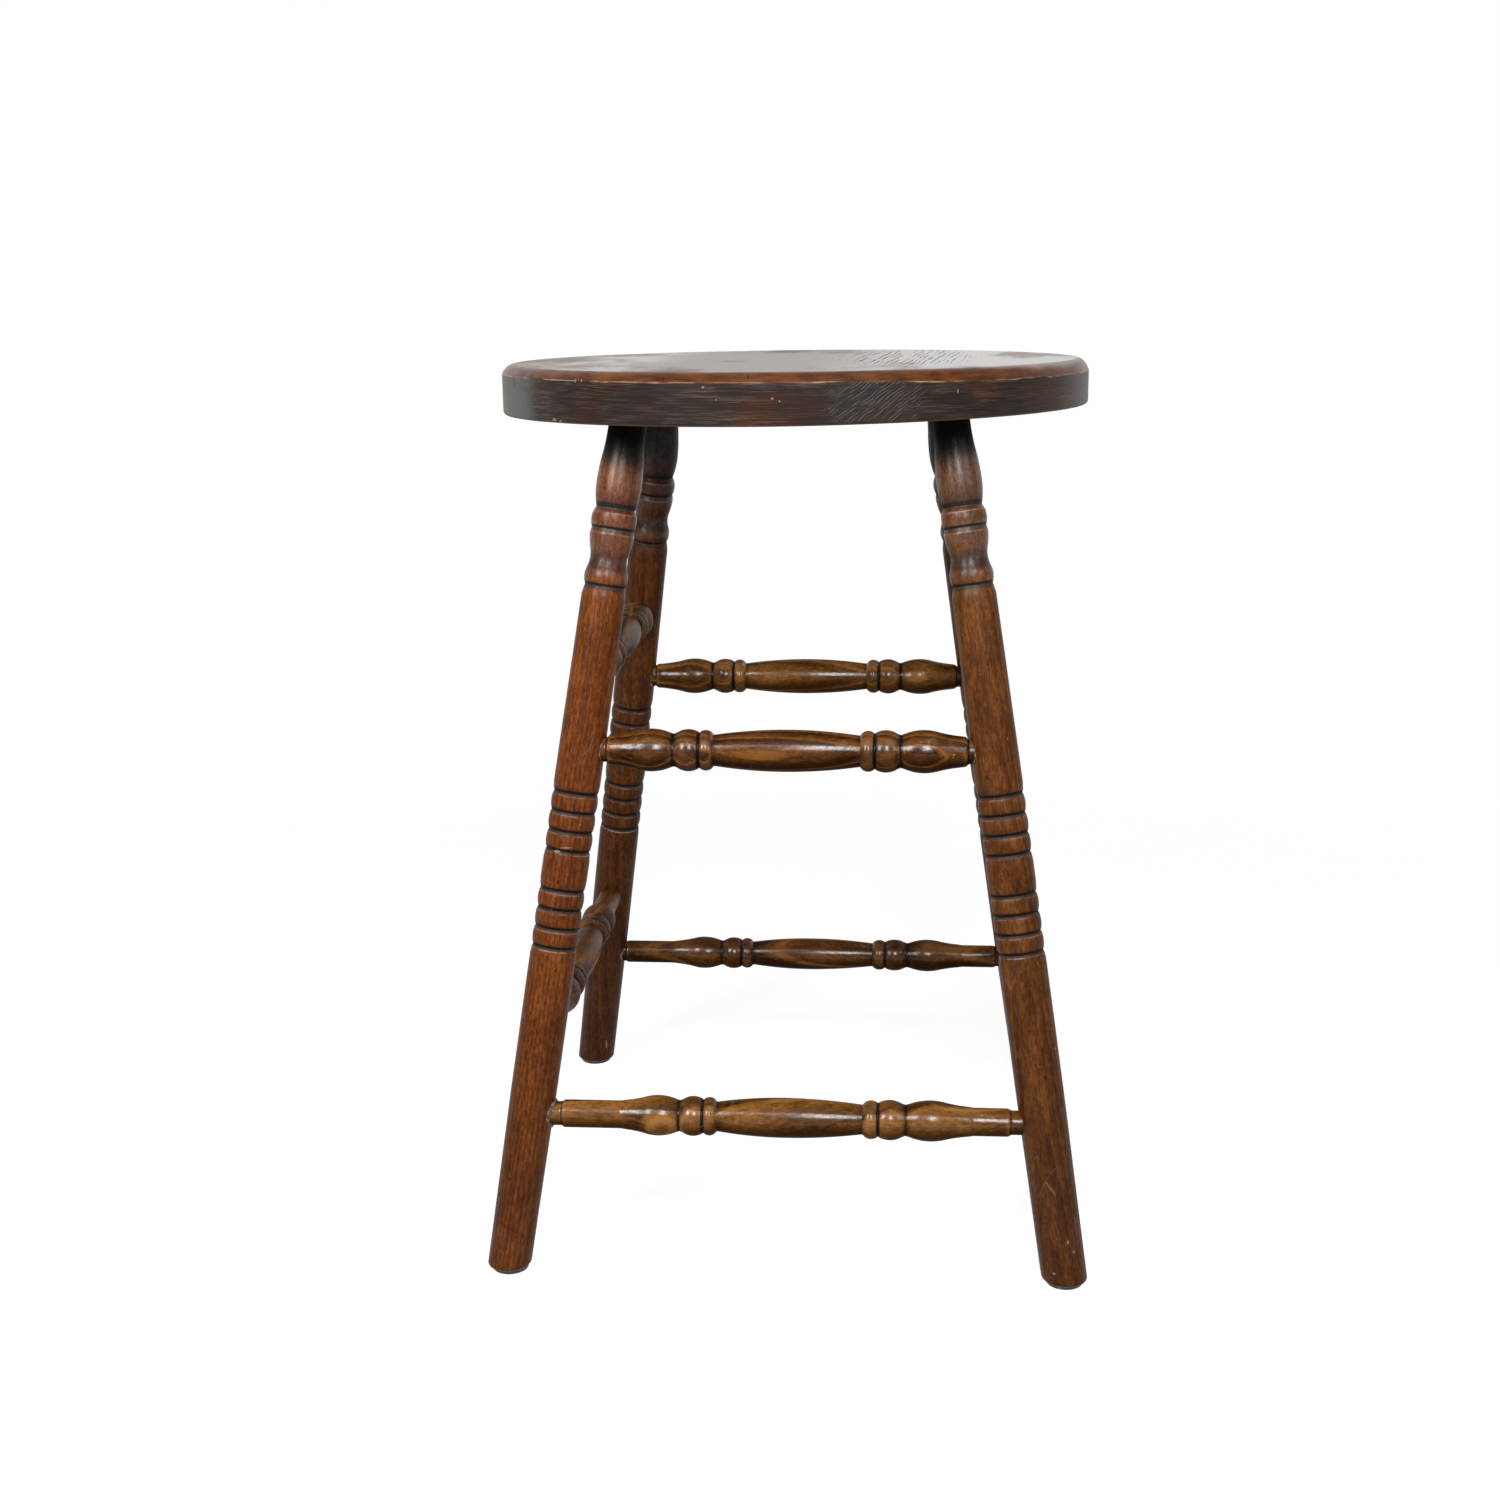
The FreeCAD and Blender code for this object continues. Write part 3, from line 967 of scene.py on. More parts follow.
@dataclass
class Outline:
    """The outline of a turned piece, as places along its axis and the radii there.

    Attributes:
        places: Places along the axis.
        radii: The radius at each place.
        marks: Numbers from 0 to 1 at each place, by name: how much stain gathers, with painted shade added on
            the legs, how much lacquer is left, how far an edge stands proud, and how much a hollow's side
            faces up.
    """

    places: np.ndarray
    radii: np.ndarray
    marks: dict[str, np.ndarray]

    FINE: ClassVar[float] = 0.1 * MM
    SOFTENING: ClassVar[float] = 0.32 * MM
    SLACK: ClassVar[float] = 0.012 * MM
    DRIFT: ClassVar[float] = 0.08
    LONGEST: ClassVar[float] = 5.0 * MM

    @classmethod
    def traced(cls, start: Pair, runs: Sequence[Run]) -> "Outline":
        """Follows straight and round runs, and softens their corners.

        Args:
            start: The first place and radius.
            runs: One pair for a straight run, or two for a round run through the first to the second.

        Returns:
            The outline, closely spaced.
        """
        points = [start]
        for run in runs:
            if len(run) == 1:
                points.append(run[0])
            else:
                points.extend(arc_points(points[-1], run[0], run[1]))
        rough = np.array(points)
        count = int(math.ceil((rough[-1, 0] - rough[0, 0]) / cls.FINE)) + 1
        places = np.linspace(rough[0, 0], rough[-1, 0], count)
        radii = np.interp(places, rough[:, 0], rough[:, 1])
        radii = smoothed(radii, cls.SOFTENING / cls.FINE)
        return cls(places, radii, {"stain": Staining().along(radii, cls.FINE), "polish": np.ones(count)})

    def thinned(self) -> "Outline":
        """The same outline with only the points that its shape needs."""
        keep = [0]
        last = len(self.places) - 1
        while keep[-1] < last:
            keep.append(self.next_kept(keep[-1], last))
        marks = {name: mark[keep] for name, mark in self.marks.items()}
        return Outline(self.places[keep], self.radii[keep], marks)

    def next_kept(self, here: int, last: int) -> int:
        """Finds the furthest point that a straight step may reach.

        Args:
            here: The point that the step starts at.
            last: The outline's last point.

        Returns:
            The number of the point that it ends at.
        """
        furthest = min(last, here + int(self.LONGEST / self.FINE))
        best = here + 1
        for there in range(here + 2, furthest + 1, 2):
            share = np.linspace(0.0, 1.0, there - here + 1)
            span = slice(here, there + 1)
            radii = self.radii
            drifts = [np.abs(radii[here] + share * (radii[there] - radii[here]) - radii[span])]
            for mark in self.marks.values():
                drift = np.abs(mark[here] + share * (mark[there] - mark[here]) - mark[span])
                drifts.append(drift * self.SLACK / self.DRIFT)
            if max(drift.max() for drift in drifts) > self.SLACK:
                break
            best = there
        return best


def arc_points(start: Pair, middle: Pair, end: Pair, steps: int = 48) -> list[Pair]:
    """Samples the round run from one point through a second to a third.

    Args:
        start: The first place and radius.
        middle: A place and radius on the way.
        end: The last place and radius.
        steps: How many points it is sampled at.

    Returns:
        The sampled points after the first.
    """
    ax, ay = start
    bx, by = middle
    cx, cy = end
    turn = 2 * (ax * (by - cy) + bx * (cy - ay) + cx * (ay - by))
    first, second, third = ax * ax + ay * ay, bx * bx + by * by, cx * cx + cy * cy
    ox = (first * (by - cy) + second * (cy - ay) + third * (ay - by)) / turn
    oy = (first * (cx - bx) + second * (ax - cx) + third * (bx - ax)) / turn
    radius = math.hypot(ax - ox, ay - oy)
    begin = math.atan2(ay - oy, ax - ox)
    through = math.atan2(by - oy, bx - ox)
    finish = math.atan2(cy - oy, cx - ox)
    full = 2 * math.pi
    sweep = (finish - begin) % full
    if (through - begin) % full > sweep:
        sweep -= full
    angles = [begin + sweep * step / steps for step in range(1, steps + 1)]
    return [(ox + radius * math.cos(angle), oy + radius * math.sin(angle)) for angle in angles]


def smoothed(values: np.ndarray, spread: float) -> np.ndarray:
    """Smooths a row of numbers and keeps its ends.

    Args:
        values: The numbers.
        spread: How far the smoothing reaches, in numbers.

    Returns:
        The smoothed numbers.
    """
    reach = int(math.ceil(3 * spread))
    offsets = np.arange(-reach, reach + 1)
    weights = np.exp(-0.5 * (offsets / spread) ** 2)
    padded = np.concatenate([np.full(reach, values[0]), values, np.full(reach, values[-1])])
    return np.convolve(padded, weights / weights.sum(), mode="valid")


def sunken(values: np.ndarray, reach: int) -> np.ndarray:
    """How far each number lies below the lower of the highest ones within reach on its two sides.

    Args:
        values: The numbers.
        reach: How many numbers each side goes.

    Returns:
        The depth of the valley at each number.
    """
    windows = np.lib.stride_tricks.sliding_window_view
    before = windows(np.pad(values, (reach, 0), mode="edge"), reach + 1).max(axis=1)
    after = windows(np.pad(values, (0, reach), mode="edge"), reach + 1).max(axis=1)
    return np.minimum(before, after) - values


@dataclass(frozen=True)
class Staining:
    """How stain gathers along an outline: most in narrow grooves, and some in wide valleys.

    Attributes:
        groove_reach: How far from its edges a groove's bottom may be.
        groove_start: The depth at which stain starts to gather in it.
        groove_rise: How much deeper it is where the stain is at its darkest.
        groove_share: How much gathers there.
        valley_depth: The depth of a wide valley with the most stain that a valley holds.
        valley_share: How much that is.
        halo: How far the stain has crept out of a groove.
        halo_share: How much has.
        valley_reach: How far from its edges a wide valley's bottom may be.
        blur: How softly the stain's amount changes.
    """

    groove_reach: float = 3.6 * MM
    groove_start: float = 0.22 * MM
    groove_rise: float = 0.3 * MM
    groove_share: float = 1.5
    valley_depth: float = 1.5 * MM
    valley_share: float = 0.52
    halo: float = 1.8 * MM
    halo_share: float = 0.85
    valley_reach: float = 13.0 * MM
    blur: float = 0.6 * MM

    def along(self, radii: np.ndarray, step: float) -> np.ndarray:
        """The stain at each radius.

        Args:
            radii: The radii, evenly spaced.
            step: How far apart they are.

        Returns:
            The stain, from 0 to 1.
        """
        narrow = sunken(radii, int(self.groove_reach / step)) - self.groove_start
        wide = sunken(radii, int(self.valley_reach / step))
        grooves = np.clip(narrow / self.groove_rise, 0.0, 1.0)
        amount = self.groove_share * grooves
        amount += self.valley_share * np.clip(wide / self.valley_depth, 0.0, 1.0)
        crept = self.halo_share * smoothed(grooves, self.halo / step)
        return np.clip(smoothed(amount, self.blur / step) + crept, 0.0, 1.0)


def worn_and_lit_edges(radii: np.ndarray, step: float, upward: bool) -> dict[str, np.ndarray]:
    """Where an outline stands proud of its surroundings, and where a hollow's side faces up.

    Args:
        radii: The radii, evenly spaced.
        step: How far apart they are.
        upward: Whether the piece stands up, so that only edges that face up the axis count.

    Returns:
        The marks for an outline, from 0 to 1.
    """
    if not upward:
        proud = np.clip((radii - smoothed(radii, 12.0)) / (0.10 * MM), 0.0, 1.0)
        return {"crest": smoothed(proud, 1.5), "flank": np.zeros(len(radii))}
    # On standing pieces, a pale edge that faces up is worn and painted highlight together, and a hollow's
    # side that faces up gets painted light.
    rise = -np.gradient(radii, step)
    proud = np.clip((radii - smoothed(radii, 7.0) - 0.03 * MM) / (0.04 * MM), 0.0, 1.0)
    proud *= np.clip((rise - 0.05) / 0.15, 0.0, 1.0)
    flank = np.clip(sunken(radii, 30) / (0.20 * MM), 0.0, 1.0) * np.clip((rise + 0.10) / 0.20, 0.0, 1.0)
    return {"crest": smoothed(proud, 1.0), "flank": smoothed(flank, 1.5)}


class Lathe:
    """Geometry nodes that turn an outline round the Z axis into a closed, slightly uneven body."""

    INPUTS: ClassVar[dict[str, Any]] = {
        "Outline": "Geometry",
        "Sides": 80,
        "Unevenness": 0.12 * MM,
        "Dent Depth": 0.3 * MM,
        "Seed": 0.0,
        "Tilt": ORIGIN,
        "Foot Low": -10.0,
        "Foot High": -9.0,
        "Neck Low": 9.0,
        "Neck High": 10.0,
        "Grain Turn": 0.0,
        "Grain Shift": ORIGIN,
        "Finish": "Material",
    }

    def __init__(self) -> None:
        """Builds the tree, from the outline to the realized body with its finish."""
        self.bench, self.start = Bench.opened(GEOMETRY_TREE, "lathe", self.INPUTS)
        bench, start = self.bench, self.start
        curve = bench.out("GeometryNodeMeshToCurve", "Curve", {"Mesh": start["Outline"]})
        circle = {"Resolution": start["Sides"], "Radius": 1.0}
        ring = bench.out("GeometryNodeCurvePrimitiveCircle", "Curve", circle)
        inputs = {"Curve": curve, "Profile Curve": ring, "Scale": kept_number(bench, "turned_radius")}
        body = bench.out("GeometryNodeCurveToMesh", "Mesh", {**inputs, "Fill Caps": True})
        self.position = bench.out("GeometryNodeInputPosition", 0)
        turned = self.position.turned(start["Grain Turn"], "Z").vector("ADD", start["Grain Shift"])
        kept = bench.add("GeometryNodeStoreNamedAttribute", data_type="FLOAT_VECTOR", domain="POINT")
        for name, value in {"Geometry": body, "Name": "blank", "Value": turned}.items():
            bench.feed(kept, name, value)
        body = bench.add("GeometryNodeSetPosition", {"Geometry": kept, "Offset": self.roughness()})
        body = bench.add("GeometryNodeSetPosition", {"Geometry": body, "Offset": self.levelling()})
        smooth = bench.add("GeometryNodeSetShadeSmooth", {"Geometry": body, "Shade Smooth": True})
        self.tree = realized(bench, smooth, start["Finish"])

    def roughness(self) -> Value:
        """How far each point lies in or out, as hand turning and long use leave it."""
        bench, start = self.bench, self.start
        outward = self.position.vector("MULTIPLY", (1.0, 1.0, 0.0)).vector("NORMALIZE")
        waves = seeded_noise(bench, self.position, (60.0, 60.0, 22.0), start["Seed"], 1.0)
        waves = (waves - 0.5) * start["Unevenness"]
        dents = seeded_noise(bench, self.position, (75.0, 75.0, 45.0), start["Seed"] + 7.0, 1.0)
        return outward.stretched(waves * 2.0 - dents.step(0.70, 0.82) * start["Dent Depth"])

    def levelling(self) -> Value:
        """How far the end rings slide along a raked axis until they lie level."""
        start, along = self.start, self.position.axis("Z")
        foot = along.step(start["Foot Low"], start["Foot High"], 1.0, 0.0)
        neck = along.step(start["Neck Low"], start["Neck High"])
        slide = self.position.vector("DOT_PRODUCT", start["Tilt"]) * foot.most(neck) * -1.0
        return self.bench.out("ShaderNodeCombineXYZ", 0, {"Z": slide})

    def turn(
        self, name: str, outline: Outline, place: Matrix, upright: bool, values: dict[str, Any]
    ) -> bpy.types.Object:
        """Turns one piece.

        Args:
            name: The piece's name.
            outline: Its outline.
            place: Where its axis stands on the stool.
            upright: Whether it stands up, so that only edges that face up get the pale edge, worn and painted
                highlight together, and the sides of hollows that face up get painted light.
            values: Values for the tree's inputs, by name.

        Returns:
            The finished piece, a plain mesh with its place in its points.
        """
        outline.marks.update(worn_and_lit_edges(outline.radii, Outline.FINE, upright))
        thin = outline.thinned()
        points = [(0.0, 0.0, float(at)) for at in thin.places]
        mesh = bpy.data.meshes.new(name)
        mesh.from_pydata(points, [(at, at + 1) for at in range(len(points) - 1)], [])
        for label, numbers in {"turned_radius": thin.radii, **thin.marks}.items():
            keep_numbers(mesh, label, numbers)
        made = through_nodes(mesh, self.tree, values)
        made.transform(place)
        return finished_piece(name, made, Surface.SMOOTH)


def kept_number(bench: Bench, name: str) -> Value:
    """Reads a number kept on the points, in geometry nodes."""
    return bench.out("GeometryNodeInputNamedAttribute", 0, {"Name": name}, data_type="FLOAT")


def seeded_noise(bench: Bench, place: Value, stretch: Colour, seed: Any, detail: float) -> Value:
    """Noise that differs from seed to seed."""
    inputs = {"Vector": place.vector("MULTIPLY", stretch), "W": seed, "Scale": 1.0, "Detail": detail}
    return bench.out("ShaderNodeTexNoise", 0, inputs, noise_dimensions="4D")


def realized(bench: Bench, body: Any, finish: Value) -> bpy.types.NodeTree:
    """Ends geometry nodes with the realized body in its finish.

    Args:
        bench: The bench of the geometry nodes.
        body: The body, or the node that gives it.
        finish: The material.

    Returns:
        The tree.
    """
    dressed = bench.add("GeometryNodeSetMaterial", {"Geometry": body, "Material": finish})
    real = bench.out("GeometryNodeRealizeInstances", 0, {"Geometry": dressed})
    return bench.closed({"Body": real}, "Geometry")


def keep_numbers(mesh: bpy.types.Mesh, name: str, numbers: np.ndarray) -> None:
    """Keeps a number on each point of a mesh."""
    kept = mesh.attributes.new(name, "FLOAT", "POINT")
    kept.data.foreach_set("value", numbers.astype(np.float32))


def linked(name: str, data: bpy.types.ID) -> bpy.types.Object:
    """Places a new object in the scene."""
    made = bpy.data.objects.new(name, data)
    bpy.context.scene.collection.objects.link(made)
    return made


def through_nodes(mesh: bpy.types.Mesh, tree: bpy.types.NodeTree, values: dict[str, Any]) -> bpy.types.Mesh:
    """Runs a mesh through geometry nodes.

    Args:
        mesh: The mesh.
        tree: The geometry nodes.
        values: Values for the tree's inputs, by name.

    Returns:
        The plain mesh that comes out.
    """
    name = mesh.name
    raw = linked(name + "_outline", mesh)
    modifier = raw.modifiers.new(tree.name, "NODES")
    modifier.node_group = tree
    sockets = {item.name: item.identifier for item in tree.interface.items_tree}
    for label, value in values.items():
        modifier[sockets[label]] = value
    bpy.context.view_layer.update()
    graph = bpy.context.evaluated_depsgraph_get()
    body = raw.evaluated_get(graph)
    made = bpy.data.meshes.new_from_object(body, preserve_all_data_layers=True, depsgraph=graph)
    made.name = name
    raw.modifiers.clear()
    bpy.data.objects.remove(raw)
    return made


def finished_piece(name: str, mesh: bpy.types.Mesh, surface: Surface) -> bpy.types.Object:
    """Merges doubled points, turns the faces outward and places a mesh in the scene.

    Args:
        name: The piece's name.
        mesh: Its mesh.
        surface: How it is shaded.

    Returns:
        The piece.
    """
    work = bmesh.new()
    work.from_mesh(mesh)
    bmesh.ops.remove_doubles(work, verts=work.verts, dist=0.002 * MM)
    bmesh.ops.recalc_face_normals(work, faces=work.faces)
    for face in work.faces:
        face.smooth = True
    work.to_mesh(mesh)
    work.free()
    mesh.set_sharp_from_angle(angle=surface.value)
    return linked(name, mesh)


@dataclass
class StoolPlan:
    """Sizes that several sub-assemblies share.

    Attributes:
        height: From the floor to the seat's top.
        seat_thickness: Thickness of the seat.
        leg_at_seat: How far a leg's centre line stands out at the seat's underside, each way.
        leg_at_floor: The same at the floor.
        leg_radius: Radius of a leg's shaft.
        foot_level: Where the wood ends above the floor.
        LEANS: How far each leg leans along X, at the floor and under the seat.
    """

    height: float = 610.0 * MM
    seat_thickness: float = 33.0 * MM
    leg_at_seat: float = 106.7 * MM
    leg_at_floor: float = 190.8 * MM
    leg_radius: float = 15.5 * MM
    foot_level: float = 3.0 * MM

    LEANS: ClassVar[dict[Corner, Pair]] = {
        Corner.FRONT_LEFT: (-0.8 * MM, 2.2 * MM),
        Corner.FRONT_RIGHT: (0.0, 2.2 * MM),
        Corner.BACK_LEFT: (0.0, -0.7 * MM),
        Corner.BACK_RIGHT: (-2.4 * MM, -0.8 * MM),
    }

    @property
    def underside(self) -> float:
        """Height of the seat's underside."""
        return self.height - self.seat_thickness

    @property
    def leg_length(self) -> float:
        """Length of a leg's centre line, from the floor to the seat."""
        lean = self.leg_at_floor - self.leg_at_seat
        return math.sqrt(2 * lean * lean + self.underside * self.underside)

    def reach(self, height: float) -> float:
        """How far a leg's centre line stands out at a height."""
        return self.leg_at_floor + (self.leg_at_seat - self.leg_at_floor) * height / self.underside

    def lean_at(self, corner: Corner, height: float) -> float:
        """How far a leg's small lean moves its centre line along X at a height."""
        foot, neck = self.LEANS[corner]
        return foot + (neck - foot) * height / self.underside

    def leg_start(self, corner: Corner) -> Vector:
        """Where a leg's centre line meets the floor."""
        right, back = corner.value
        return Vector((right * self.leg_at_floor + self.LEANS[corner][0], back * self.leg_at_floor, 0.0))

    def leg_way(self, corner: Corner) -> Vector:
        """The direction in which a leg rises, with the small lean of its hand-bored socket."""
        right, back = corner.value
        out = self.leg_at_seat
        end = Vector((right * out + self.LEANS[corner][1], back * out, self.underside))
        return (end - self.leg_start(corner)).normalized()


@dataclass
class Legs:
    """The four raked, turned legs.

    Attributes:
        plan: The shared sizes.
        lathe: The tree that turns them.
        foot_radius: Radius at the foot.
        neck_radius: Radius where the neck meets the seat.
        belly_place: Where the shaft gets its full radius, along the leg.
        foot_round: Rounding of the foot's edge.
        groove_count: How many grooves a set has.
        groove_pitch: How far apart they are.
        groove_depth: Their depth.
        groove_half_width: Half their width.
        groove_lip: How far their edges lie below the shaft.
        groove_places: Where the first groove of each set is, along the leg.
        head_length: Length of the turned head under the seat.
        head_radius: Its radius, which the head's runs are shares of.
        head_start_share: Its radius at its lower end, as a share.
        seat_bite: How far the neck goes into the seat.
        HEAD_RUNS: The head's outline, as shares of its length and radius.
        NECK_STAIN_AND_SHADE: Where the dark on each neck, partly stain and partly painted shade under the
            seat, starts and is full, as shares of the head.
        GIRTHS: How much thicker each leg is than usual, at its foot and at its head.
        GRAIN_TURNS: How far each leg's grain is turned round its axis.
    """

    plan: StoolPlan
    lathe: Lathe
    foot_radius: float = 14.6 * MM
    neck_radius: float = 12.2 * MM
    belly_place: float = 130.0 * MM
    foot_round: float = 2.2 * MM
    groove_count: int = 4
    groove_pitch: float = 13.2 * MM
    groove_depth: float = 1.3 * MM
    groove_half_width: float = 1.8 * MM
    groove_lip: float = 0.5 * MM
    groove_places: Pair = (229.0 * MM, 296.0 * MM)
    head_length: float = 119.3 * MM
    head_radius: float = 14.9 * MM
    head_start_share: float = 0.973
    seat_bite: float = 0.4 * MM

    HEAD_RUNS: ClassVar[tuple[Run, ...]] = (
        ((0.056, 0.880),),
        ((0.096, 0.963), (0.147, 0.909)),
        ((0.205, 0.819), (0.264, 0.886)),
        ((0.306, 0.950), (0.346, 0.980)),
        ((0.376, 0.920),),
        ((0.391, 0.973),),
        ((0.426, 1.003), (0.463, 0.966)),
        ((0.491, 0.852),),
        ((0.557, 0.960), (0.641, 0.997)),
        ((0.717, 0.966), (0.780, 0.913)),
        ((0.847, 0.856), (0.930, 0.826)),
    )
    NECK_STAIN_AND_SHADE: ClassVar[dict[Corner, Pair]] = {
        Corner.FRONT_LEFT: (0.62, 0.87),
        Corner.FRONT_RIGHT: (0.64, 0.89),
        Corner.BACK_LEFT: (0.36, 0.84),
        Corner.BACK_RIGHT: (0.36, 0.82),
    }
    GIRTHS: ClassVar[dict[Corner, Pair]] = {
        Corner.FRONT_LEFT: (1.015, 1.022),
        Corner.FRONT_RIGHT: (1.050, 1.012),
        Corner.BACK_LEFT: (1.045, 1.050),
        Corner.BACK_RIGHT: (1.045, 1.040),
    }
    GRAIN_TURNS: ClassVar[dict[Corner, float]] = {
        Corner.FRONT_LEFT: 0.6,
        Corner.FRONT_RIGHT: 2.1,
        Corner.BACK_LEFT: 3.9,
        Corner.BACK_RIGHT: 5.2,
    }

    def outline(self, corner: Corner) -> Outline:
        """The outline of a leg, from its foot to its neck.

        Args:
            corner: The leg's corner.

        Returns:
            The outline, with its stain and painted shade.
        """
        rise = self.plan.leg_way(Corner.FRONT_LEFT).z
        foot = self.plan.foot_level / rise
        runs: list[Run] = [((self.belly_place, self.plan.leg_radius),)]
        for place in self.groove_places:
            runs += self.groove_runs(place)
        head = self.plan.leg_length - self.head_length
        runs.append(((head, self.head_start_share * self.head_radius),))
        for run in self.HEAD_RUNS:
            sized = ((head + share * self.head_length, size * self.head_radius) for share, size in run)
            runs.append(tuple(sized))
        runs.append(((self.plan.leg_length + self.seat_bite, self.neck_radius),))
        outline = Outline.traced((foot, self.foot_radius), runs)
        above = (outline.places - foot) * rise
        within = np.clip(self.foot_round - above, 0.0, self.foot_round)
        outline.radii = outline.radii - (self.foot_round - np.sqrt(self.foot_round**2 - within**2))
        foot_girth, head_girth = self.GIRTHS[corner]
        outline.radii *= np.interp(outline.places, (foot, head), (foot_girth, head_girth))
        # Painted shade: the groove stain stays darker on flanks that face down and is halved where they face
        # up.
        facing_up = np.clip(-np.gradient(outline.radii, outline.places) / 0.30, 0.0, 1.0)
        stain = outline.marks["stain"] * (1.0 - 0.5 * smoothed(facing_up, 3.0))
        share = (outline.places - head) / self.head_length
        worn_through = np.clip((share - 0.80) / 0.08, 0.0, 1.0)
        polish = np.clip(0.12 + 5.0 * np.maximum(0.0, share + 0.02), 0.0, 1.0) * (1.0 - worn_through)
        polish *= 1.0 - 0.4 * np.clip(1.6 - np.abs(share - 0.440) / 0.025, 0.0, 1.0)
        # The dark neck is partly stain and partly painted shade under the seat, reaching further down on the
        # back legs.
        low, high = self.NECK_STAIN_AND_SHADE[corner]
        neck = np.clip((share - low) / (high - low), 0.0, 1.0)
        stain = np.maximum(stain, 1.2 * neck * neck * (3 - 2 * neck))
        # Painted shade on the vase's foot, where it faces down.
        vase_foot_shade = np.clip(1.0 - (share - 0.50) / 0.15, 0.0, 1.0) * (share > 0.49)
        stain = np.maximum(stain, 0.66 * vase_foot_shade)
        cove = np.clip(1.7 - np.abs(share - 0.185) / 0.045, 0.0, 1.0)
        stain = np.maximum(stain, 0.66 * cove)
        grime = np.clip(1.0 - above / (5.0 * MM), 0.0, 1.0) * 0.40
        outline.marks = {"stain": np.maximum(stain, grime), "polish": polish}
        return outline

    def groove_runs(self, first: float) -> list[Run]:
        """The outline over one set of grooves.

        Args:
            first: Where the first groove is, along the leg.

        Returns:
            The runs of the outline.
        """
        full = self.plan.leg_radius
        lip = full - self.groove_lip
        half = self.groove_pitch / 2
        runs: list[Run] = [((first - half, full),)]
        for count in range(self.groove_count):
            place = first + count * self.groove_pitch
            edge = (place - self.groove_half_width, lip)
            runs.append(((place - half, full), edge) if count else (edge,))
            runs.append(((place, full - self.groove_depth),))
            runs.append(((place + self.groove_half_width, lip),))
        runs.append(((first + (self.groove_count - 1) * self.groove_pitch + half, full),))
        return runs

    def make(
        self, left: bpy.types.Material, right: bpy.types.Material, back: bpy.types.Material
    ) -> list[bpy.types.Object]:
        """Makes, dresses and places the legs.

        Args:
            left: The material of the front left leg.
            right: The material of the front right leg.
            back: The material of the back legs, a darker copy that stands in as painted shade.

        Returns:
            The legs.
        """
        pieces = []
        length = self.plan.leg_length
        for number, corner in enumerate(Corner):
            outline = self.outline(corner)
            way = self.plan.leg_way(corner)
            turn = UP.rotation_difference(way).to_matrix()
            place = Matrix.Translation(self.plan.leg_start(corner)) @ turn.to_4x4()
            up = turn.transposed() @ UP
            values = {
                "Sides": 84,
                "Unevenness": 0.14 * MM,
                "Dent Depth": 0.35 * MM,
                "Seed": 11.0 + 3.7 * number,
                "Tilt": (up.x / up.z, up.y / up.z, 0.0),
                "Foot Low": 12.0 * MM,
                "Foot High": 70.0 * MM,
                "Neck Low": length - 32.0 * MM,
                "Neck High": length - 4.0 * MM,
                "Grain Turn": self.GRAIN_TURNS[corner],
                "Grain Shift": (0.0, 0.0, 1.3 * number),
                "Finish": {Corner.FRONT_LEFT: left, Corner.FRONT_RIGHT: right}.get(corner, back),
            }
            piece = self.lathe.turn("turned_leg_" + corner.word, outline, place, True, values)
            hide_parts("leg_" + corner.word)
            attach(piece, BODY)
            pieces.append(piece)
        return pieces


@dataclass(frozen=True)
class Turning:
    """The sizes of one kind of stretcher.

    Attributes:
        turned_share: How much of it is turned, as a share of the way from its middle to its shoulder.
        radius: Radius of the barrel.
        end_radius: Radius of the plain ends.
    """

    turned_share: float
    radius: float
    end_radius: float


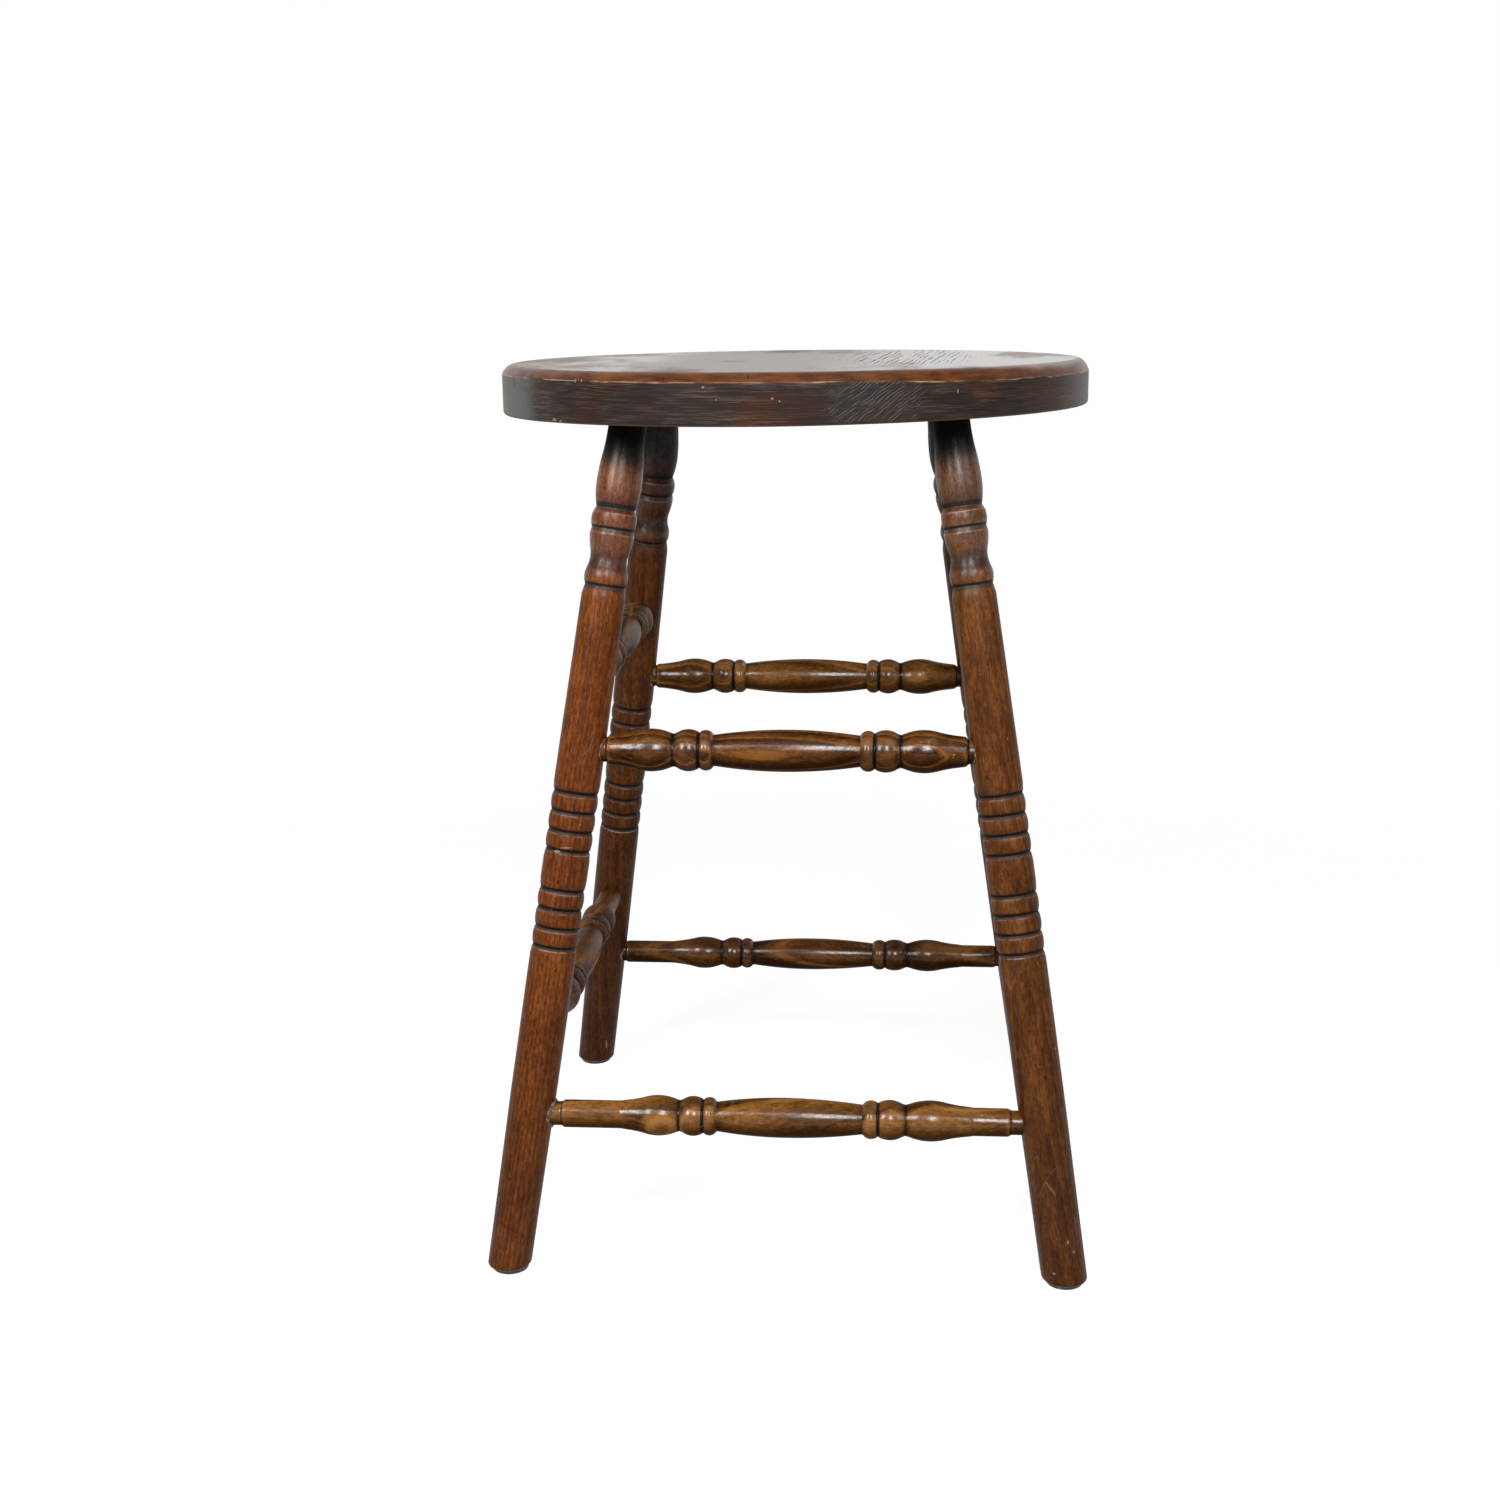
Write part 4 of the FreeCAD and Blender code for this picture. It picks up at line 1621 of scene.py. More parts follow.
@dataclass
class Stretchers:
    """The eight turned stretchers.

    Attributes:
        plan: The shared sizes.
        lathe: The tree that turns them.
        tenon_radius: Radius of the tenons.
        tenon_depth: How far they go into a leg.
        shoulder_bevel: Length of the bevel at a shoulder.
        shoulder_gap: How far a shoulder usually stays off the leg.
        end_taper: Length of the taper from the vase to the plain end.
        barrel_half_share: Half the barrel's length, as a share of the turned part.
        barrel_end_share: The barrel's radius at its ends, as a share of its own.
        front_girth: How much thicker the front ones are.
        HEIGHTS: Height of the front and back ones, and how much higher those at the sides are.
        TURNINGS: Their sizes by level.
        RUNS: The outline past the barrel, as shares of the turned part and of the radius.
        GOLDEN: The ones of paler wood.
        FRONT_GAPS: How far a front one's shoulder stays off the leg.
        SHIFTS: How much higher single ones sit.
        STAINING: How stain gathers on them.
        HALVES: How much longer the turned part of the left and of the right half is than usual.
    """

    plan: StoolPlan
    lathe: Lathe
    tenon_radius: float = 8.2 * MM
    tenon_depth: float = 20.0 * MM
    shoulder_bevel: float = 1.8 * MM
    shoulder_gap: float = 2.5 * MM
    end_taper: float = 2.5 * MM
    barrel_half_share: float = 0.423
    barrel_end_share: float = 0.74
    front_girth: float = 1.03

    HEIGHTS: ClassVar[dict[Level, Pair]] = {
        Level.UPPER: (356.0 * MM, 52.0 * MM),
        Level.LOWER: (107.0 * MM, 55.0 * MM),
    }
    TURNINGS: ClassVar[dict[Level, Turning]] = {
        Level.UPPER: Turning(0.94, 13.8 * MM, 9.8 * MM),
        Level.LOWER: Turning(0.73, 13.1 * MM, 9.2 * MM),
    }
    RUNS: ClassVar[tuple[Run, ...]] = (
        ((0.429, 0.820),),
        ((0.465, 0.965), (0.500, 0.880)),
        ((0.506, 0.820),),
        ((0.513, 0.880),),
        ((0.572, 1.003), (0.636, 0.835)),
        ((0.655, 0.775),),
        ((0.674, 0.825),),
        ((0.764, 1.012), (0.880, 0.900)),
        ((0.952, 0.785), (1.000, 0.735)),
    )
    GOLDEN: ClassVar[tuple[tuple[Side, Level], ...]] = ((Side.FRONT, Level.LOWER), (Side.BACK, Level.UPPER))
    FRONT_GAPS: ClassVar[dict[Level, float]] = {Level.UPPER: 1.5 * MM, Level.LOWER: 6.0 * MM}
    SHIFTS: ClassVar[dict[tuple[Side, Level], float]] = {
        (Side.FRONT, Level.UPPER): 1.1 * MM,
        (Side.BACK, Level.UPPER): -2.4 * MM,
        (Side.FRONT, Level.LOWER): 1.4 * MM,
        (Side.BACK, Level.LOWER): -1.6 * MM,
    }
    STAINING: ClassVar[Staining] = Staining(
        groove_reach=2.4 * MM,
        groove_start=0.1 * MM,
        groove_rise=0.65 * MM,
        groove_share=0.98,
        valley_depth=2.0 * MM,
        valley_share=0.30,
        halo=1.3 * MM,
        halo_share=0.45,
    )
    HALVES: ClassVar[dict[tuple[Side, Level], Pair]] = {
        (Side.FRONT, Level.UPPER): (1.015, 1.02),
        (Side.BACK, Level.UPPER): (1.0, 1.02),
        (Side.FRONT, Level.LOWER): (0.98, 1.12),
        (Side.BACK, Level.LOWER): (0.99, 1.10),
    }

    def height(self, side: Side, level: Level) -> float:
        """Height of a stretcher's centre line."""
        low, rise = self.HEIGHTS[level]
        return low + self.SHIFTS.get((side, level), rise)

    def gap(self, side: Side, level: Level) -> float:
        """How far a stretcher's shoulder stays off the leg."""
        return self.FRONT_GAPS[level] if side is Side.FRONT else self.shoulder_gap

    def outline(self, side: Side, level: Level) -> Outline:
        """The outline of a stretcher, from one tenon's end to the other's.

        Args:
            side: The side that it is on.
            level: Its level.

        Returns:
            The outline, with its middle at place 0.
        """
        height = self.height(side, level)
        shoulder = self.plan.reach(height) - self.plan.leg_radius - self.gap(side, level)
        halves = self.HALVES.get((side, level), (1.0, 1.0))
        left, right = (self.half_outline(level, height, shoulder, share) for share in halves)
        places = np.concatenate([-left.places[:0:-1], right.places])
        radii = np.concatenate([left.radii[:0:-1], right.radii])
        stain = self.STAINING.along(radii, Outline.FINE)
        past = np.abs(places) - shoulder
        step = np.clip(1.0 - np.abs(past + 0.5 * MM) / (1.1 * MM), 0.0, 1.0) * 0.95
        tenon = np.clip(past / (0.8 * MM), 0.0, 1.0) * 0.42
        stain = np.maximum(np.maximum(stain, tenon), step)
        if side is Side.FRONT:
            radii = np.where(np.abs(places) < shoulder - self.shoulder_bevel, radii * self.front_girth, radii)
        return Outline(places, radii, {"stain": stain, "polish": np.ones(len(places))})

    def half_outline(self, level: Level, height: float, shoulder: float, share: float) -> Outline:
        """The outline of one half of a stretcher, from its middle to its tenon's end.

        Args:
            level: The stretcher's level.
            height: Height of its centre line.
            shoulder: How far its shoulder is from its middle.
            share: How long the turned part is, as a share of the usual.

        Returns:
            The outline.
        """
        turning = self.TURNINGS[level]
        half = turning.turned_share * shoulder * share
        start = (self.barrel_half_share * half, self.barrel_end_share * turning.radius)
        runs: list[Run] = [tuple((at * half, size * turning.radius) for at, size in run) for run in self.RUNS]
        runs.append(((half + self.end_taper, turning.end_radius),))
        runs.append(((shoulder - self.shoulder_bevel, turning.end_radius),))
        runs.append(((shoulder, self.tenon_radius),))
        tenon_end = self.plan.reach(height) - self.plan.leg_radius + self.tenon_depth
        runs.append(((tenon_end, self.tenon_radius),))
        barrel = arc_points((-start[0], start[1]), (0.0, turning.radius), start)
        barrel_runs: list[Run] = [(point,) for point in barrel if point[0] > 0]
        return Outline.traced((0.0, turning.radius), barrel_runs + runs)

    def middle(self, side: Side, level: Level) -> Vector:
        """Where a stretcher's middle is, halfway between its two legs."""
        height = self.height(side, level)
        out = side.value[1] * self.plan.reach(height)
        legs = [corner for corner in Corner if corner.value[side.across] == side.value[1]]
        drift = sum(self.plan.lean_at(corner, height) for corner in legs) / 2
        return Vector((drift, out, height)) if side.across else Vector((out + drift, 0.0, height))

    def make(
        self, usual: bpy.types.Material, golden: bpy.types.Material, dull: bpy.types.Material
    ) -> list[bpy.types.Object]:
        """Makes, dresses and places the stretchers.

        Args:
            usual: The stretchers' material.
            golden: The material of the paler ones.
            dull: The material of those at the sides.

        Returns:
            The stretchers.
        """
        pieces = []
        for level in Level:
            for side in Side:
                number = len(pieces) + 1
                finish = usual if side.across else dull
                if (side, level) in self.GOLDEN:
                    finish = golden
                turn = UP.rotation_difference(side.way).to_matrix().to_4x4()
                place = Matrix.Translation(self.middle(side, level)) @ turn
                values = {
                    "Sides": 76,
                    "Unevenness": 0.12 * MM,
                    "Dent Depth": 0.3 * MM,
                    "Seed": 40.0 + 2.3 * number,
                    "Grain Turn": 1.57 if number == 1 else 0.9 * number,
                    "Grain Shift": (0.0, 0.0, 0.9 * number),
                    "Finish": finish,
                }
                name = f"stretcher_{side.word}_{level.value}"
                piece = self.lathe.turn("turned_" + name, self.outline(side, level), place, False, values)
                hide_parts(name)
                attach(piece, BODY)
                pieces.append(piece)
        return pieces


@dataclass
class Seat:
    """The round seat of four glued boards.

    Attributes:
        plan: The shared sizes.
        radius: The seat's radius.
        bevel_width: Width of the worn bevel, seen from above.
        bevel_depth: Its depth.
        bevel_bulge: How far its middle stands out.
        lower_round: Rounding of the lower edge.
        extra_bevel: How much lower the bevel is worn at the front right.
        rise_right: How far the lower edge has been planed up at the right.
        drop_left: How far it hangs lower at the left.
        joint_shares: The joints' places, as shares of the radius.
        around: How many points each ring of the disc has.
    """

    plan: StoolPlan
    radius: float = 206.5 * MM
    bevel_width: float = 8.0 * MM
    bevel_depth: float = 6.4 * MM
    bevel_bulge: float = 0.9 * MM
    lower_round: float = 2.0 * MM
    extra_bevel: float = 2.2 * MM
    rise_right: float = 2.1 * MM
    drop_left: float = 1.2 * MM
    joint_shares: tuple[float, ...] = (-0.42, 0.155, 0.71)
    around: int = 480

    NAMES: ClassVar[tuple[str, ...]] = ("left", "centre_left", "centre_right", "right")

    @property
    def side_top(self) -> float:
        """Height of the bevel's lower edge."""
        return self.plan.height - self.bevel_depth

    @property
    def bevel_inner(self) -> float:
        """Radius of the bevel's upper edge."""
        return self.radius - self.bevel_width

    @property
    def joints(self) -> tuple[float, ...]:
        """The joints' places along X."""
        return tuple(share * self.radius for share in self.joint_shares)

    def profile(self) -> list[Pair]:
        """The seat's outline as radius and height, from the middle of its underside to its top."""
        low, high = self.plan.underside, self.plan.height
        points = [(at * MM, low) for at in np.arange(12.0, 198.0, 12.0)]
        for angle in np.linspace(0.0, 90.0, 7):
            across = self.lower_round * (1 - math.sin(math.radians(angle)))
            up = self.lower_round * (1 - math.cos(math.radians(angle)))
            points.append((self.radius - across, low + up))
        side_low = low + self.lower_round
        for share in np.linspace(0.0, 1.0, 20)[1:]:
            points.append((self.radius, side_low + share * (self.side_top - low - self.lower_round)))
        across = (self.radius + self.bevel_inner) / 2 + self.bevel_bulge
        up = (self.side_top + high) / 2 + self.bevel_bulge
        bevel = arc_points((self.radius, self.side_top), (across, up), (self.bevel_inner, high))
        points += bevel[3::4]
        points += [(self.bevel_inner - at * MM, high) for at in (0.7, 1.5, 3.0, 5.0)]
        points += [(at * MM, high) for at in np.arange(192.0, 4.0, -5.0)]
        return soften_edges(points, (self.radius, self.side_top), (self.bevel_inner, high))

    def disc(self) -> bmesh.types.BMesh:
        """The whole seat as one closed, slightly worn disc."""
        work = bmesh.new()
        heights = work.verts.layers.float.new("profile_height")
        radii = work.verts.layers.float.new("profile_radius")

        def point(radius: float, height: float, angle: float) -> bmesh.types.BMVert:
            """Adds a worn point that keeps its place on the true outline."""
            added = work.verts.new(self.worn(radius, height, angle))
            added[heights] = height
            added[radii] = radius
            return added

        rings = []
        for radius, height in self.profile():
            angles = [2 * math.pi * step / self.around for step in range(self.around)]
            rings.append([point(radius, height, angle) for angle in angles])
        for lower, upper in zip(rings, rings[1:]):
            for step in range(self.around):
                after = (step + 1) % self.around
                work.faces.new((lower[step], lower[after], upper[after], upper[step]))
        for ring, height in ((rings[0], self.plan.underside), (rings[-1], self.plan.height)):
            middle = point(0.0, height, 0.0)
            for step in range(self.around):
                work.faces.new((ring[step], ring[(step + 1) % self.around], middle))
        bmesh.ops.recalc_face_normals(work, faces=work.faces)
        return work

    def worn(self, radius: float, height: float, angle: float) -> Vector:
        """Moves a point of the true disc to where wear has left it.

        Args:
            radius: The point's distance from the centre line.
            height: Its height above the floor.
            angle: Its angle round the centre line.

        Returns:
            The point.
        """
        point = Vector((radius * math.cos(angle), radius * math.sin(angle), height))
        upward = smooth_share(height, self.side_top - 4 * MM, self.plan.height)
        rim = smooth_share(radius, self.bevel_inner - 6 * MM, self.radius)
        wave = noise.noise(Vector((point.x * 24, point.y * 24, 3.0)))
        ripple = noise.noise(Vector((point.x * 75, point.y * 75, 9.0)))
        carved = smooth_share(point.x, 0.112, 0.128) * smooth_share(-point.y, 0.10, 0.13)
        carved *= 1.0 - smooth_share(point.x, 0.160, 0.178)
        cut = (0.30 * wave + 0.16 * ripple + carved * (0.5 * ripple + 0.25)) * MM
        point.z -= rim * upward * max(0.0, cut + 0.12 * MM)
        edge = smooth_share(height, self.side_top - 14 * MM, self.side_top)
        edge *= 1.0 - smooth_share(height, self.side_top, self.plan.height)
        rubbed = smooth_share(point.x, 0.04, 0.13) * smooth_share(-point.y, -0.12, -0.04)
        point.z -= rim * edge * rubbed * (self.extra_bevel + 0.9 * MM * ripple)
        low = 1.0 - smooth_share(height, self.plan.underside + 2 * MM, self.side_top - 4 * MM)
        slope = self.rise_right if point.x > 0 else self.drop_left
        outer = smooth_share(radius, 0.82 * self.radius, 0.97 * self.radius)
        point.z += outer * low * slope * point.x / self.radius
        inward = 1.0 - rim * max(0.0, 0.14 * ripple + 0.10 * wave + 0.08) * MM / self.radius
        point.x *= inward
        point.y *= inward
        dish = 0.5 + noise.noise(Vector((point.x * 14, point.y * 9, 5.0)))
        dish += 0.35 * (0.5 + noise.noise(Vector((point.x * 42, point.y * 30, 7.0))))
        top = smooth_share(height, self.plan.height - 0.5 * MM, self.plan.height)
        point.z -= top * (1 - rim) * 0.22 * MM * max(0.0, dish)
        return point

    def make(self, finish: bpy.types.Material) -> list[bpy.types.Object]:
        """Saws the disc into boards, dresses and places them.

        Args:
            finish: The boards' material.

        Returns:
            The boards.
        """
        pieces = []
        disc = self.disc()
        whole = bpy.data.meshes.new("seat_disc")
        disc.to_mesh(whole)
        disc.free()
        edges = (None, *self.joints, None)
        for number, (name, left, right) in enumerate(zip(self.NAMES, edges, edges[1:])):
            board = self.sawn(whole, left, right)
            mesh = bpy.data.meshes.new("board_" + name)
            board.to_mesh(mesh)
            board.free()
            keep_numbers(mesh, "board", np.full(len(mesh.vertices), float(number)))
            mesh.materials.append(finish)
            piece = finished_piece("board_" + name, mesh, Surface.CRISP)
            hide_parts("seat_board_" + name)
            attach(piece, BODY)
            pieces.append(piece)
        bpy.data.meshes.remove(whole)
        return pieces

    def sawn(self, whole: bpy.types.Mesh, left: float | None, right: float | None) -> bmesh.types.BMesh:
        """Cuts one board from the disc.

        Args:
            whole: The mesh of the disc.
            left: Where its left joint is, or None at the rim.
            right: Where its right joint is, or None at the rim.

        Returns:
            The closed board.
        """
        board = bmesh.new()
        board.from_mesh(whole)
        for joint, way in ((left, -1.0), (right, 1.0)):
            if joint is None:
                continue
            everything = board.verts[:] + board.edges[:] + board.faces[:]
            plane = {"plane_co": (joint, 0.0, 0.0), "plane_no": (way, 0.0, 0.0)}
            bmesh.ops.bisect_plane(board, geom=everything, dist=0.001 * MM, clear_outer=True, **plane)
            rim = [edge for edge in board.edges if edge.is_boundary]
            bmesh.ops.holes_fill(board, edges=rim, sides=0)
        return board


def smooth_share(value: float, low: float, high: float) -> float:
    """How far a number has come from one level to another, eased, from 0 to 1."""
    share = min(1.0, max(0.0, (value - low) / (high - low)))
    return share * share * (3 - 2 * share)


def soften_edges(points: list[Pair], *corners: Pair) -> list[Pair]:
    """Replaces each corner of an outline by two points close to it.

    Args:
        points: The outline as radius and height.
        *corners: The corners, each also a point of the outline or close to one.

    Returns:
        The outline with softer corners.
    """
    soft: list[Pair] = []
    for number, point in enumerate(points):
        near = any(math.dist(point, corner) < 0.01 * MM for corner in corners)
        if not near or number in (0, len(points) - 1):
            soft.append(point)
            continue
        for other in (points[number - 1], points[number + 1]):
            share = min(0.5, 0.4 * MM / math.dist(point, other))
            soft.append((point[0] + share * (other[0] - point[0]), point[1] + share * (other[1] - point[1])))
    return soft


@dataclass
class GlueLines:
    """The thin lines of old glue where the stretchers' tenons enter the legs.

    Attributes:
        plan: The shared sizes.
        stretchers: The stretchers that are glued in.
        bead_radius: Usual radius of the line.
        leg_radius_at_joint: Radius of the legs where the joints are.
        around: How many points a line starts with.
        THICK: How much thicker a line is than usual, by side, level and end.
    """

    plan: StoolPlan
    stretchers: Stretchers
    bead_radius: float = 0.55 * MM
    leg_radius_at_joint: float = 15.4 * MM
    around: int = 40

    THICK: ClassVar[dict[tuple[Side, Level, int], float]] = {
        (Side.FRONT, Level.LOWER, -1): 2.6,
        (Side.BACK, Level.LOWER, -1): 2.0,
        (Side.BACK, Level.UPPER, -1): 1.9,
    }

    def ring(self, side: Side, level: Level, end: int) -> list[Vector]:
        """Follows one tenon where it meets its leg.

        Args:
            side: The stretcher's side.
            level: Its level.
            end: Which end of it, -1 or 1 along its axis.

        Returns:
            The points of the line.
        """
        middle = self.stretchers.middle(side, level)
        way, out = side.way, side.value[1]
        signs = (end, out) if side.across else (out, end)
        corner = Corner(signs)
        start, rise = self.plan.leg_start(corner), self.plan.leg_way(corner)
        level_way = way.cross(UP)
        points = []
        for step in range(self.around):
            angle = 2 * math.pi * step / self.around
            ring = level_way * math.cos(angle) + UP * math.sin(angle)
            base = middle + ring * self.stretchers.tenon_radius - start
            across_base = base - rise * base.dot(rise)
            across_way = way * end - rise * (way * end).dot(rise)
            a = across_way.length_squared
            b = 2 * across_base.dot(across_way)
            c = across_base.length_squared - self.leg_radius_at_joint**2
            travel = (-b - math.sqrt(max(0.0, b * b - 4 * a * c))) / (2 * a)
            points.append(middle + ring * self.stretchers.tenon_radius + way * (end * travel))
        return points

    def bead_tree(self) -> bpy.types.NodeTree:
        """Geometry nodes that lay a lumpy bead along a closed line."""
        sizes = {"Line": "Geometry", "Radius": 0.0, "Seed": 0.0, "Finish": "Material"}
        bench, start = Bench.opened(GEOMETRY_TREE, "glue bead", sizes)
        curve = bench.add("GeometryNodeMeshToCurve", {"Mesh": start["Line"]})
        even = bench.out("GeometryNodeResampleCurve", 0, {"Curve": curve, "Count": 96})
        position = bench.out("GeometryNodeInputPosition", 0)
        lumps = seeded_noise(bench, position, (260.0, 260.0, 260.0), start["Seed"], 2.0)
        size = kept_number(bench, "bead") * lumps.step(0.28, 0.72, 0.35, 1.6)
        ring = bench.out("GeometryNodeCurvePrimitiveCircle", 0, {"Resolution": 10, "Radius": start["Radius"]})
        inputs = {"Curve": even, "Profile Curve": ring, "Scale": size}
        return realized(bench, bench.add("GeometryNodeCurveToMesh", inputs), start["Finish"])

    def make(self, finish: bpy.types.Material) -> list[bpy.types.Object]:
        """Lays every line of glue as one piece.

        Args:
            finish: The glue's material.

        Returns:
            The one piece.
        """
        points: list[Vector] = []
        edges: list[tuple[int, int]] = []
        sizes: list[float] = []
        for level in Level:
            for side in Side:
                for end in (-1, 1):
                    ring = self.ring(side, level, end)
                    first = len(points)
                    points += ring
                    edges += [(first + at, first + (at + 1) % len(ring)) for at in range(len(ring))]
                    sizes += [self.THICK.get((side, level, end), 1.0)] * len(ring)
        mesh = bpy.data.meshes.new("glue_lines")
        mesh.from_pydata(points, edges, [])
        keep_numbers(mesh, "bead", np.array(sizes))
        values = {"Radius": self.bead_radius, "Seed": 5.0, "Finish": finish}
        made = through_nodes(mesh, self.bead_tree(), values)
        piece = finished_piece("glue_lines", made, Surface.SMOOTH)
        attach(piece, BODY)
        return [piece]


@dataclass
class Glides:
    """The black glides under the feet and the nails that hold them, which keep their solids."""

    def make(self, plastic: bpy.types.Material, steel: bpy.types.Material) -> list[bpy.types.Object]:
        """Dresses the glides and their nails.

        Args:
            plastic: The glides' material.
            steel: The nails' material.

        Returns:
            The glides and the nails.
        """
        pieces = []
        dressed = {"glide_" + corner.word: plastic for corner in Corner}
        dressed["glide_nails"] = steel
        for name, finish in dressed.items():
            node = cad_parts[name]
            node.data.materials.clear()
            node.data.materials.append(finish)
            pieces.append(node)
        return pieces


# Studio


@dataclass
class Camera:
    """The camera at the view of the reference picture.

    Attributes:
        place: Where it stands.
        yaw: How far it is turned to the right of +Y.
        pitch: How far it looks down.
        roll: How far it is tilted.
        lens: Its focal length in millimetres, for a sensor 36 mm wide.
    """

    place: Colour = (0.086319, -1.440975, 0.663882)
    yaw: float = -0.0841
    pitch: float = 0.2303
    roll: float = 0.0129
    lens: float = 47.92

    def make(self) -> None:
        """Makes the camera and gives it to the scene."""
        forward = Vector((
            math.sin(self.yaw) * math.cos(self.pitch),
            math.cos(self.yaw) * math.cos(self.pitch),
            -math.sin(self.pitch),
        ))
        level = Vector((math.cos(self.yaw), -math.sin(self.yaw), 0.0))
        down = forward.cross(level)
        right = level * math.cos(self.roll) + down * math.sin(self.roll)
        below = down * math.cos(self.roll) - level * math.sin(self.roll)
        turn = Matrix((right, -below, -forward)).transposed().to_4x4()
        data = bpy.data.cameras.new("camera")
        data.lens = self.lens
        data.sensor_width = 36.0
        data.dof.use_dof = False
        camera = linked("camera", data)
        camera.matrix_world = Matrix.Translation(Vector(self.place)) @ turn
        bpy.context.scene.camera = camera


@dataclass(frozen=True)
class Lamp:
    """One soft lamp.

    Attributes:
        name: Its name.
        place: Where it hangs.
        width: Its width.
        height: Its height.
        level: How brightly it lights a white surface that faces it.
    """

    name: str
    place: Colour
    width: float
    height: float
    level: float

    def make(self, aim: Vector) -> None:
        """Makes the lamp.

        Args:
            aim: The point that it faces.
        """
        away = Vector(self.place) - aim
        data = bpy.data.lights.new(self.name, "AREA")
        data.shape = "RECTANGLE"
        data.size = self.width
        data.size_y = self.height
        data.energy = self.level * math.pi**2 * away.length_squared
        lamp = linked(self.name, data)
        lamp.location = self.place
        lamp.rotation_euler = (-away).to_track_quat("-Z", "Y").to_euler()
        lamp.visible_camera = False


@dataclass
class Studio:
    """A pale floor, a white surround and soft lamps.

    Attributes:
        floor_half: Half the floor's width.
        surround: How brightly the surround lights the stool.
        room: How bright it is in the gloss of what faces the front.
        aim: The point that the lamps face.
    """

    floor_half: float = 9.0
    surround: float = 0.10
    room: float = 0.20
    aim: Colour = (0.0, 0.0, 0.34)

    LAMPS: ClassVar[tuple[Lamp, ...]] = (
        Lamp("window_left", (-0.86, -1.20, 1.12), 0.38, 0.62, 0.53),
        Lamp("window_middle", (0.24, -1.62, 1.22), 0.40, 0.62, 0.50),
        Lamp("window_right", (1.35, -1.10, 1.05), 0.40, 0.70, 0.14),
        Lamp("strip_above", (0.00, -1.45, 1.50), 2.20, 0.14, 0.16),
        Lamp("fill_above", (0.25, -0.35, 2.60), 1.60, 1.20, 0.10),
        Lamp("fill_back", (1.10, 1.90, 1.90), 1.40, 1.00, 0.08),
    )

    def make(self, floor_finish: bpy.types.Material) -> None:
        """Makes the floor, the surround and the lamps.

        Args:
            floor_finish: The floor's material.
        """
        half = self.floor_half
        mesh = bpy.data.meshes.new("floor")
        corners = [(-half, -half, 0.0), (half, -half, 0.0), (half, half, 0.0), (-half, half, 0.0)]
        mesh.from_pydata(corners, [], [(0, 1, 2, 3)])
        mesh.materials.append(floor_finish)
        floor = linked("floor", mesh)
        for lamp in self.LAMPS:
            lamp.make(Vector(self.aim))
        self.surround_world()

    def surround_world(self) -> None:
        """Makes the white surround, which lights the stool only softly."""
        world = bpy.data.worlds.new("surround")
        bpy.context.scene.world = world
        world.use_nodes = True
        world.node_tree.nodes.clear()
        bench = Bench(world.node_tree)
        path = bench.given(bench.add("ShaderNodeLightPath"))
        backward = bench.out("ShaderNodeTexCoord", "Generated").axis("Y")
        mirrored = path["Is Glossy Ray"] * backward.step(-0.10, 0.25, self.room, 1.0)
        seen = path["Is Camera Ray"].most(path["Is Transmission Ray"])
        strength = seen.most(mirrored).most(self.surround)
        back = bench.add("ShaderNodeBackground", {"Color": WHITE, "Strength": strength})
        bench.add("ShaderNodeOutputWorld", {"Surface": back})


LEG_TIMBER = TurnedTimber(
    "leg_timber",
    dark=(0.036, 0.0082, 0.0016),
    middle=(0.122, 0.0300, 0.0048),
    light=(0.270, 0.082, 0.015),
    foot_line=0.75,
    nicks=(
        Nick((-0.1520, -0.1669, 0.2719), (0.0012, 0.0020, 0.0020), False),
        Nick((-0.1184, -0.1406, 0.4434), (0.0009, 0.0020, 0.0022), False),
        Nick((-0.1534, -0.1628, 0.2921), (0.0030, 0.0020, 0.0012)),
        Nick((-0.1464, -0.1636, 0.2948), (0.0048, 0.0020, 0.0006)),
        Nick((0.1914, -0.2006, 0.0346), (0.0009, 0.0020, 0.0016)),
        Nick((0.1956, -0.2002, 0.0272), (0.0008, 0.0020, 0.0009)),
        Nick((0.1824, -0.2032, 0.0122), (0.0011, 0.0020, 0.0010)),
        Nick((0.1345, -0.1543, 0.3439), (0.0010, 0.0020, 0.0018), False),
        Nick((0.1549, -0.1671, 0.2702), (0.0011, 0.0020, 0.0022), False),
        Nick((0.1726, -0.1821, 0.1632), (0.0010, 0.0020, 0.0024), False),
        Nick((-0.1785, 0.1745, 0.0185), (0.0009, 0.0025, 0.0060)),
    ),
)
RIGHT_LEG_TIMBER = replace(
    LEG_TIMBER,
    name="right_leg_timber",
    dark=(0.030, 0.0082, 0.0018),
    middle=(0.094, 0.0285, 0.0055),
    light=(0.215, 0.076, 0.0165),
)
# A darker copy for the back legs: painted shade under the seat.
BACK_LEG_SHADED_TIMBER = replace(
    LEG_TIMBER,
    name="back_leg_shaded_timber",
    dark=(0.021, 0.0058, 0.0014),
    middle=(0.073, 0.0205, 0.0041),
    light=(0.165, 0.056, 0.0125),
)
